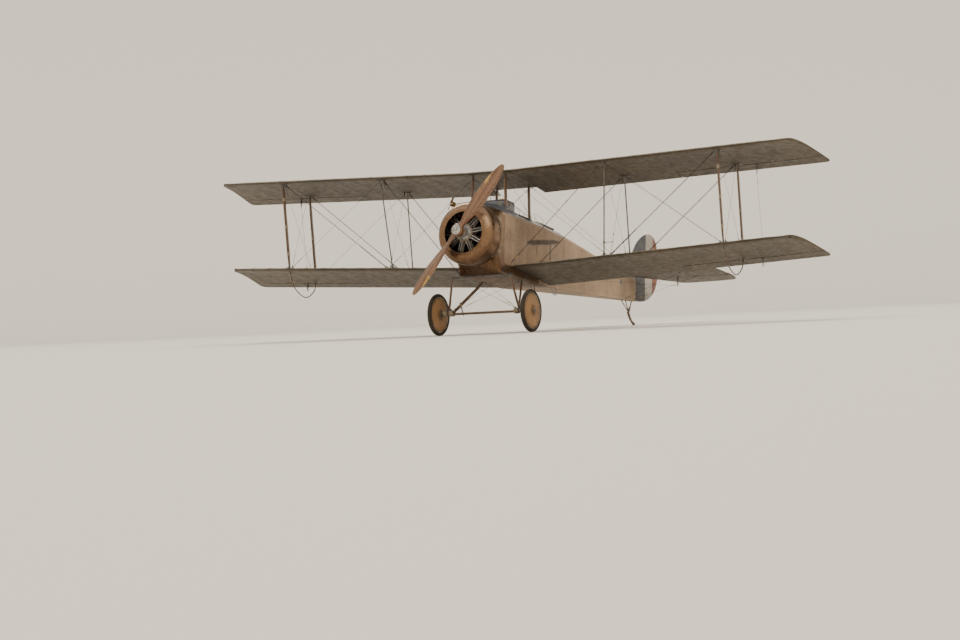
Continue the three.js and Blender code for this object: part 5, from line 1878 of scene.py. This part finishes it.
def crossing(piece, points, chord, thick, scales=(1, 1), finish=0, sides=24):
    """Streamlined tube across the aircraft, with its blunt edge ahead."""
    places = [sized(place, s, -s) for place, s in zip(places_along(points, UP), scales)]
    piece.add(swept(streamline(chord, thick, sides), places), finish=finish)


def gear_legs():
    """Streamlined legs, and their foot plates under the fuselage."""
    feet = Piece("leg_feet", "steel", "bright_steel")
    for side, sign in SIDES:
        for leg in ("front", "rear"):
            shaped_strut(f"gear_{leg}_leg_{side}", 0.062, 0.03, 0.8)
        _, top = strut_ends(f"gear_rear_leg_{side}")
        x, keel = top.x - sign * 0.01, body_at(top.y)[1]
        feet.box(0.08, 0.11, 0.006, 0.0015, moved(x, top.y, keel - 0.002))
        feet.screws(0.005, [at(x + dx, top.y + dy, keel - 0.005, -UP) for dx in (-0.028, 0.028)
                            for dy in (-0.04, 0.04)])
    feet.done(slot="steel")


def axle():
    """The axle in its fairing, and the rubber cord that binds it to the legs."""
    piece = Piece("axle_fairing", "steel", "strut_wood", "bright_steel")
    _, y, z = joint_place("wheel_port_spin")
    reach, end = 0.935, GEAR_APEX + 0.045
    crossing(piece, [(x, y, z) for x in (-end, 0.02 - end, end - 0.02, end)], 0.096, 0.036,
             (0.9, 1, 1, 0.9), 1, 28)
    piece.bar([(-reach, y, z), (reach, y, z)], 0.02, 28)
    for sign in SIGNS:
        piece.spun([(19.5, 0), (30, 0), (31, 4), (31, 6), (19.5, 6)], 28,
                   at(sign * 0.785, y, z, (sign, 0, 0)))
        piece.spun([(0, 30), (4, 30), (4, -30), (0, -30)], 10, moved(sign * 0.925, y, z), 2)
        piece.spun([(19.5, -4), (27, -4), (27, 4), (19.5, 4)], 24, at(sign * 0.921, y, z, PORTWARD), 2)
    piece.done(slot="steel", replaces=["axle"])
    cords = Piece("axle_cords", "cordage", "steel")
    for x, k in ((sign * (GEAR_APEX + offset + 0.0108 * (k - 3)), k) for sign in SIGNS
                 for offset in (-0.056, 0.056) for k in range(7)):
        loop = [(x + 0.006 * u * v, y + 0.056 * u * (1 + 0.04 * (k % 2)), z + 0.012 + 0.044 * v)
                for u, v in circle(1, 20)]
        cords.add(ring(loop, 0.0062, 7, PORTWARD))
    horns = [at(sign * GEAR_APEX + dx, y, z + 0.025, PORTWARD, (0, 1, 0))
             for sign in SIGNS for dx in (-0.02, 0.016)]
    cords.add(plate([(-0.06, -0.03), (0.06, -0.03), (0.045, 0.075), (-0.045, 0.075)], 0.004, MM), horns, 1)
    cords.done()


def cross_bar():
    """Streamlined tube between the front legs' heads, and the gear's brace wires."""
    piece = Piece("gear_cross_bar", "steel", "bright_steel")
    low, high = corners("gear_cross_tube")
    _, y, z = (low + high) / 2
    ends = (low.x, low.x + 0.02, high.x - 0.02, high.x)
    crossing(piece, [(x, y, z) for x in ends], 0.064, 0.03, (1, 1, 1, 1))
    for x in (-0.5, -0.355, 0.355, 0.5):
        crossing(piece, [(x - 0.014, y, z), (x + 0.014, y, z)], 0.072, 0.036)
        piece.screws(0.006, at(x, y, z - 0.0175, -UP))
    piece.done(slot="steel", replaces=["gear_cross_tube"])
    piece = wire_piece("gear_wires")
    light, (_, foot, level) = sizes().wire, joint_place("wheel_port_spin")
    level += 0.05
    for sign in SIGNS:
        wire(piece, (sign * 0.6, foot - 0.03, level), (-sign * 0.5, y + 0.015, z + 0.01), light, 0.2)
        wire(piece, (sign * 0.59, foot + 0.05, level), (-sign * 0.34, 1.6, -0.595), light, 0.3)
    brace = places_along([(-0.547, 1.164, -1.0), (-0.33, 0.875, -1.238)], PORTWARD)
    piece.add(swept(streamline(0.05, 0.02), brace), finish=FITTING)
    piece.done(slot="steel")


def bound(piece, section, place, spans, finish):
    """A binding round a bar: spans gives each place along it and how much it is grown there."""
    places = [sized(place @ moved(0, 0, span), grown) for span, grown in spans]
    piece.add(swept(section, places), finish=finish)


def tip_hoops():
    """Cane hoops under the lower wing, bound along their run."""
    lead = WING_LEADS["lower"]
    for side, sign in SIDES:
        x = sign * OUTER_X
        front, back = (Vector((x, y, surface(f"lower_wing_{side}", x, y, False) + 0.006))
                       for y in (lead + SPARS["front"] + 0.01, lead + SPARS["rear"] - 0.005))
        low = [(x, lead + aft, z) for aft, z in ((0.33, -0.52), (0.69, -0.64), (0.96, -0.5))]
        path = smooth_path([front, *low, back], 10)
        piece = Piece(f"tip_hoop_{side}_cane", "strut_wood", "cordage", "steel")
        piece.bar(path, 0.009, 14)
        for place in places_along(path)[3:-3:4]:
            bound(piece, circle(0.009, 14), place,
                  ((-0.009, 1), (-0.008, 1.18), (0.008, 1.18), (0.009, 1)), 1)
        for end in (front, back):
            piece.box(0.05, 0.07, 0.008, 0.002, moved(end.x, end.y, end.z - 0.007), 2)
            piece.spun([(8.5, -28), (12.5, -28), (13.5, -4), (13.5, 0), (8.5, 0)], 16,
                       moved(end.x, end.y, end.z - 0.008), 2)
        piece.done(slot="strut_wood", replaces=[f"tip_hoop_{side}"])


def tail_skid():
    """Curved ash skid bound with cord, with a steel shoe, on its frame of tubes."""
    apex, shoe, pull = (Vector(p) for p in ((0, 6.785, -0.4), (0, 7.03, -0.586), (0, 6.855, -0.55)))
    start = apex + Vector((0, -0.022, 0.006))
    path = [start.lerp(pull, t).lerp(pull.lerp(shoe, t), t) for t in spread(0, 1, 23)]
    section = [(a * 0.02, b * 0.018) for a, b in ((-1, -0.75), (-0.75, -1), (0.75, -1), (1, -0.75), (1, 0.75),
                                                  (0.75, 1), (-0.75, 1), (-1, 0.75))]
    places, taper = places_along(path, PORTWARD), spread(1, 0.75, 23)
    piece = Piece("tail_skid_ash", "strut_wood", "steel", "cordage")
    piece.add(swept(section, [sized(place, t) for place, t in zip(places, taper)]))
    bound(piece, section, places[-1],
          ((-0.075, 0.84), (-0.07, 0.95), (-0.01, 0.98), (0.012, 0.9), (0.026, 0.55)), 1)
    piece.spun([(0, -30), (17, -26), (27, -12), (30, 0), (27, 12), (17, 26), (0, 30)], 28, moved(*shoe), 1)
    quarter = [(-1.02, 0), (-1, -0.8), (-0.8, -1), (0, -1.02), (0.8, -1), (1, -0.8)]
    turn = quarter + [(-a, -b) for a, b in quarter]
    for k in (4, 5, 6, 11, 12, 17):
        for shift in (-0.004, 0.004):
            band = places[k] @ moved(0, 0, shift)
            loop = [band @ Vector((0.0215 * taper[k] * a, 0.0195 * taper[k] * b, 0)) for a, b in turn]
            piece.add(ring(loop, 0.0028, 6, band.col[2].xyz), finish=2)
    piece.done(slot="varnished_wood", replaces=["tail_skid"])
    piece = Piece("tail_skid_tubes", "steel", "bright_steel", "cordage")
    for head, radius in (((0.045, 6.52, -0.19), 0.009), ((-0.045, 6.52, -0.19), 0.009),
                         ((0, 6.93, -0.14), 0.011)):
        near, far, bolt, stop = (apex.lerp(Vector(head), t) for t in (0.86, 0.97, 0.92, 0.985))
        piece.bar([apex, stop], radius, 16)
        piece.bar([near, far], radius * 1.35, 16)
        piece.spun([(0, 16), (4.5, 16), (4.5, -16), (0, -16)], 8, at(*bolt, PORTWARD), 1)
    piece.spun([(0, -24), (14, -19), (22, -10), (24, 0), (22, 10), (14, 19), (0, 24)], 24,
               at(*apex, PORTWARD))
    rear_tube = [apex.lerp(Vector(head), 0.12 + 0.036 * k) for k in range(8)]
    for k, place in enumerate(places_along(rear_tube)):
        piece.add(ring(hoop(0.0158 + MM * (k % 2), 18, place), 0.0052, 7, place.col[2].xyz), finish=2)
    piece.done(slot="steel", replaces=["tail_skid_frame"])


# Stage

FLOOR_REACH, BOWL_RADIUS, BOWL_HEIGHT = 95.0, 30.0, 75.0
VIEW_PLACE = (17.055, -36.107, 0.25)   # the camera, ahead of the port wing at floor level
VIEW_TURN, VIEW_TILT, VIEW_ROLL = (radians(a) for a in (27.508, -0.0235, -2.623))
VIEW_LENS = 84.78                      # millimetres, on a 36 mm wide frame


def stage_floor():
    """Pale floor that sweeps up far out on every side, so that no edge shows behind the aircraft."""
    profile = [(r, 0) for r in (0, 8, 30, 60, FLOOR_REACH)]
    profile += arc((FLOOR_REACH, BOWL_RADIUS), BOWL_RADIUS, -90, 0, 12)[1:]
    profile.append((FLOOR_REACH + BOWL_RADIUS, BOWL_HEIGHT))
    bm = turned(profile, 96)
    bmesh.ops.recalc_face_normals(bm, faces=bm.faces)
    bmesh.ops.reverse_faces(bm, faces=[f for f in bm.faces if f.normal.z < -0.1 or
                                       f.normal.dot(f.calc_center_median() * Vector((1, 1, 0))) > 1e-6])
    for face in bm.faces:
        face.smooth = True
    paint = Finish("stage_paint", Base_Color=(0.76, 0.73, 0.68), Roughness=0.85, Specular_IOR_Level=0.2)
    new_object("stage_floor", bm, [paint.material])


def soft_light(name, place, wide, strength, colour):
    """Even light from one side over the whole stage, wide degrees across, so that its shadows are soft."""
    light = bpy.data.lights.new(name, "SUN")
    light.angle, light.energy, light.color = radians(wide), strength, colour
    made = bpy.data.objects.new(name, light)
    made.location = place
    made.rotation_euler = (-Vector(place)).to_track_quat("-Z", "Y").to_euler()
    bpy.context.scene.collection.objects.link(made)


def stage_lights():
    light = bpy.context.scene.biplane_light
    soft_light("key_light", (20, -17, 24), 50, light.key, (1.0, 0.93, 0.83))
    soft_light("back_light", (-16, 22, 22), 40, light.back, (1.0, 0.86, 0.68))
    soft_light("fill_light", (-18, -20, 14), 60, light.fill, (0.95, 0.96, 1.0))
    world = bpy.data.worlds.new("studio")
    world.use_nodes = True
    background = world.node_tree.nodes["Background"]
    background.inputs["Color"].default_value = (1.0, 0.95, 0.87, 1)
    background.inputs["Strength"].default_value = light.room
    bpy.context.scene.world = world


def stage_camera():
    level = cos(VIEW_TILT)
    ahead = Vector((-sin(VIEW_TURN) * level, cos(VIEW_TURN) * level, sin(VIEW_TILT)))
    right = ahead.cross(UP).normalized()
    up = right.cross(ahead)
    across, top = right * cos(VIEW_ROLL) + up * sin(VIEW_ROLL), up * cos(VIEW_ROLL) - right * sin(VIEW_ROLL)
    data = bpy.data.cameras.new("camera")
    data.lens, data.sensor_width = VIEW_LENS, 36
    data.clip_start, data.clip_end = 0.5, 500
    camera = bpy.data.objects.new("camera", data)
    camera.matrix_world = moved(*VIEW_PLACE) @ Matrix((across, top, -ahead)).transposed().to_4x4()
    bpy.context.scene.collection.objects.link(camera)
    bpy.context.scene.camera = camera


# Add-on

def size(name, description, default, least, most):
    return FloatProperty(name=name, description=description, default=default, min=least, max=most,
                         unit="LENGTH")


class BiplaneSizes(PropertyGroup):
    """Sizes that a user would change."""

    wing_sag: size("Wing Cloth Sag", "Depth of the cloth between two wing ribs", 0.007, 0, 0.02)
    tail_sag: size("Tail Cloth Sag", "Depth of the cloth between two tail ribs", 0.004, 0, 0.015)
    body_sag: size("Side Cloth Sag", "Depth of the cloth between two fuselage frames", 0.007, 0, 0.02)
    wire: size("Wire Radius", "Radius of the light rigging wires", 0.0024, 0.001, 0.006)
    cable: size("Flying Wire Radius", "Radius of the doubled flying wires", 0.0032, 0.001, 0.008)
    fin_gap: size("Cooling Fin Gap", "Distance between two cooling fins of a cylinder", 0.0085, 0.004, 0.02)
    coaming: size("Coaming Radius", "Radius of the padded roll round a cockpit", 0.021, 0.01, 0.03)
    cushion: size("Cushion Thickness", "Thickness of a seat cushion at its middle", 0.05, 0.02, 0.09)


def colour(name, description, default):
    return FloatVectorProperty(name=name, description=description, default=default, min=0, max=1, size=3,
                               subtype="COLOR")


class BiplaneFinishes(PropertyGroup):
    """Colours that a user would change."""

    wing_dope: colour("Wing Dope", "Varnished linen of the wings and tail", (0.058, 0.043, 0.022))
    body_dope: colour("Body Dope", "Pale linen of the fuselage", (0.31, 0.215, 0.14))
    wheel_cover: colour("Wheel Covers", "Linen of the wheel covers", (0.3, 0.165, 0.07))
    rudder_blue: colour("Rudder Blue", "Front stripe of the rudder", (0.06, 0.066, 0.075))
    rudder_pale: colour("Rudder Pale", "Middle stripe of the rudder", (0.37, 0.33, 0.29))
    rudder_red: colour("Rudder Red", "Rear stripe of the rudder", (0.17, 0.065, 0.035))
    cowl: colour("Cowl Metal", "Sheet of the cowl, under its film of oil", (0.26, 0.165, 0.1))
    decking: colour("Decking Paint", "Metal sheet around the cockpits", (0.135, 0.142, 0.165))
    strut: colour("Strut Wood", "Varnished wood of the struts", (0.125, 0.06, 0.027))
    leather: colour("Leather", "Coamings and seat cushions", (0.085, 0.05, 0.032))


def strength(name, description, default):
    return FloatProperty(name=name, description=description, default=default, min=0, max=10)


class BiplaneLight(PropertyGroup):
    """Strength of the studio's lights."""

    key: strength("Key", "Light from ahead of the port wing", 1.5)
    back: strength("Back", "Warm light from behind the starboard wing", 2.4)
    fill: strength("Fill", "Dim light from ahead of the starboard wing", 0.5)
    room: strength("Room", "Light from all around", 0.95)


def run(*steps):
    """Makes an operator's pieces in order."""
    for step in steps:
        step()
    return {"FINISHED"}


class MakeWings(Operator):
    """Cloth covers of the wings and ailerons, with ribs and tapes"""
    bl_idname = "biplane.wings"
    bl_label = "Wings and Ailerons"

    def execute(self, context):
        return run(wing_panels, ailerons)


class MakeTail(Operator):
    """Cloth covers of the tailplane, elevators and rudder"""
    bl_idname = "biplane.tail"
    bl_label = "Tail"

    def execute(self, context):
        return run(tail_surfaces, rudder_cover)


class MakeFuselage(Operator):
    """Cloth sides, belly and rear fuselage with their tapes, lacing and steps"""
    bl_idname = "biplane.fuselage"
    bl_label = "Fuselage"

    def execute(self, context):
        return run(fuselage_cloth, edge_strips, side_plates, steps_and_doors)


class MakeDecking(Operator):
    """Sheet decking with rivets, tank cover, cockpit rims and windscreens"""
    bl_idname = "biplane.decking"
    bl_label = "Decking"

    def execute(self, context):
        return run(decking, tank_cover, coamings, windscreens)


class MakeCockpits(Operator):
    """Instruments, frames, controls, seats and cushions"""
    bl_idname = "biplane.cockpits"
    bl_label = "Cockpits"

    def execute(self, context):
        return run(instruments, cockpit_frames, flying_controls, seats, seat_cushions)


class MakeNose(Operator):
    """Cowl and nose fairing"""
    bl_idname = "biplane.nose"
    bl_label = "Nose"

    def execute(self, context):
        return run(cowl, nose_fairing)


class MakeEngine(Operator):
    """Nine-cylinder rotary engine that turns with its propeller"""
    bl_idname = "biplane.engine"
    bl_label = "Rotary Engine"

    def execute(self, context):
        return run(rotary_engine)


class MakePropeller(Operator):
    """Laminated propeller with its hub"""
    bl_idname = "biplane.propeller"
    bl_label = "Propeller"

    def execute(self, context):
        return run(propeller)


class MakeStruts(Operator):
    """Interplane and centre struts with their fittings"""
    bl_idname = "biplane.struts"
    bl_label = "Struts"

    def execute(self, context):
        return run(wing_struts, strut_fittings, wind_pump)


class MakeRigging(Operator):
    """Wires between the wings and at the centre struts"""
    bl_idname = "biplane.rigging"
    bl_label = "Rigging"

    def execute(self, context):
        return run(bay_wires, cabane_wires)


class MakeControls(Operator):
    """Horns, hinges, pulleys, cables and wires of the moving surfaces"""
    bl_idname = "biplane.controls"
    bl_label = "Horns and Cables"

    def execute(self, context):
        return run(aileron_horns, aileron_cables, hinge_fittings, tail_rigging)


class MakeGear(Operator):
    """Landing-gear legs, axle, cords and wires"""
    bl_idname = "biplane.gear"
    bl_label = "Landing Gear"

    def execute(self, context):
        return run(gear_legs, axle, cross_bar)


class MakeWheels(Operator):
    """Tyres and laced wheel covers"""
    bl_idname = "biplane.wheels"
    bl_label = "Wheels"

    def execute(self, context):
        return run(wheels)


class MakeSkids(Operator):
    """Hoops under the wing tips and the tail skid"""
    bl_idname = "biplane.skids"
    bl_label = "Skids"

    def execute(self, context):
        return run(tip_hoops, tail_skid)


class MakeStage(Operator):
    """Floor, lights and camera"""
    bl_idname = "biplane.stage"
    bl_label = "Stage"

    def execute(self, context):
        return run(stage_floor, stage_lights, stage_camera)


PIECES = (MakeWings, MakeTail, MakeFuselage, MakeDecking, MakeCockpits, MakeNose, MakeEngine, MakePropeller,
          MakeStruts, MakeRigging, MakeControls, MakeGear, MakeWheels, MakeSkids, MakeStage)


class BiplanePanel(Panel):
    """Lists the aircraft's pieces, sizes, colours and lights"""
    bl_idname = "VIEW3D_PT_biplane"
    bl_label = "Two-seat Biplane"
    bl_space_type = "VIEW_3D"
    bl_region_type = "UI"
    bl_category = "Biplane"

    def draw(self, context):
        for piece in PIECES:
            self.layout.operator(piece.bl_idname)
        for group in GROUPS:
            column = self.layout.column(align=True)
            for name in GROUPS[group].__annotations__:
                column.prop(getattr(context.scene, group), name)


GROUPS = {"biplane_sizes": BiplaneSizes, "biplane_finishes": BiplaneFinishes, "biplane_light": BiplaneLight}
CLASSES = (*GROUPS.values(), *PIECES, BiplanePanel)


def register():
    for made in CLASSES:
        bpy.utils.register_class(made)
    for name, group in GROUPS.items():
        setattr(bpy.types.Scene, name, PointerProperty(type=group))


def unregister():
    for name in GROUPS:
        delattr(bpy.types.Scene, name)
    for made in reversed(CLASSES):
        bpy.utils.unregister_class(made)


def main():
    register()
    for piece in PIECES:
        getattr(bpy.ops.biplane, piece.bl_idname.split(".")[1])()


if __name__ == "__main__":
    main()
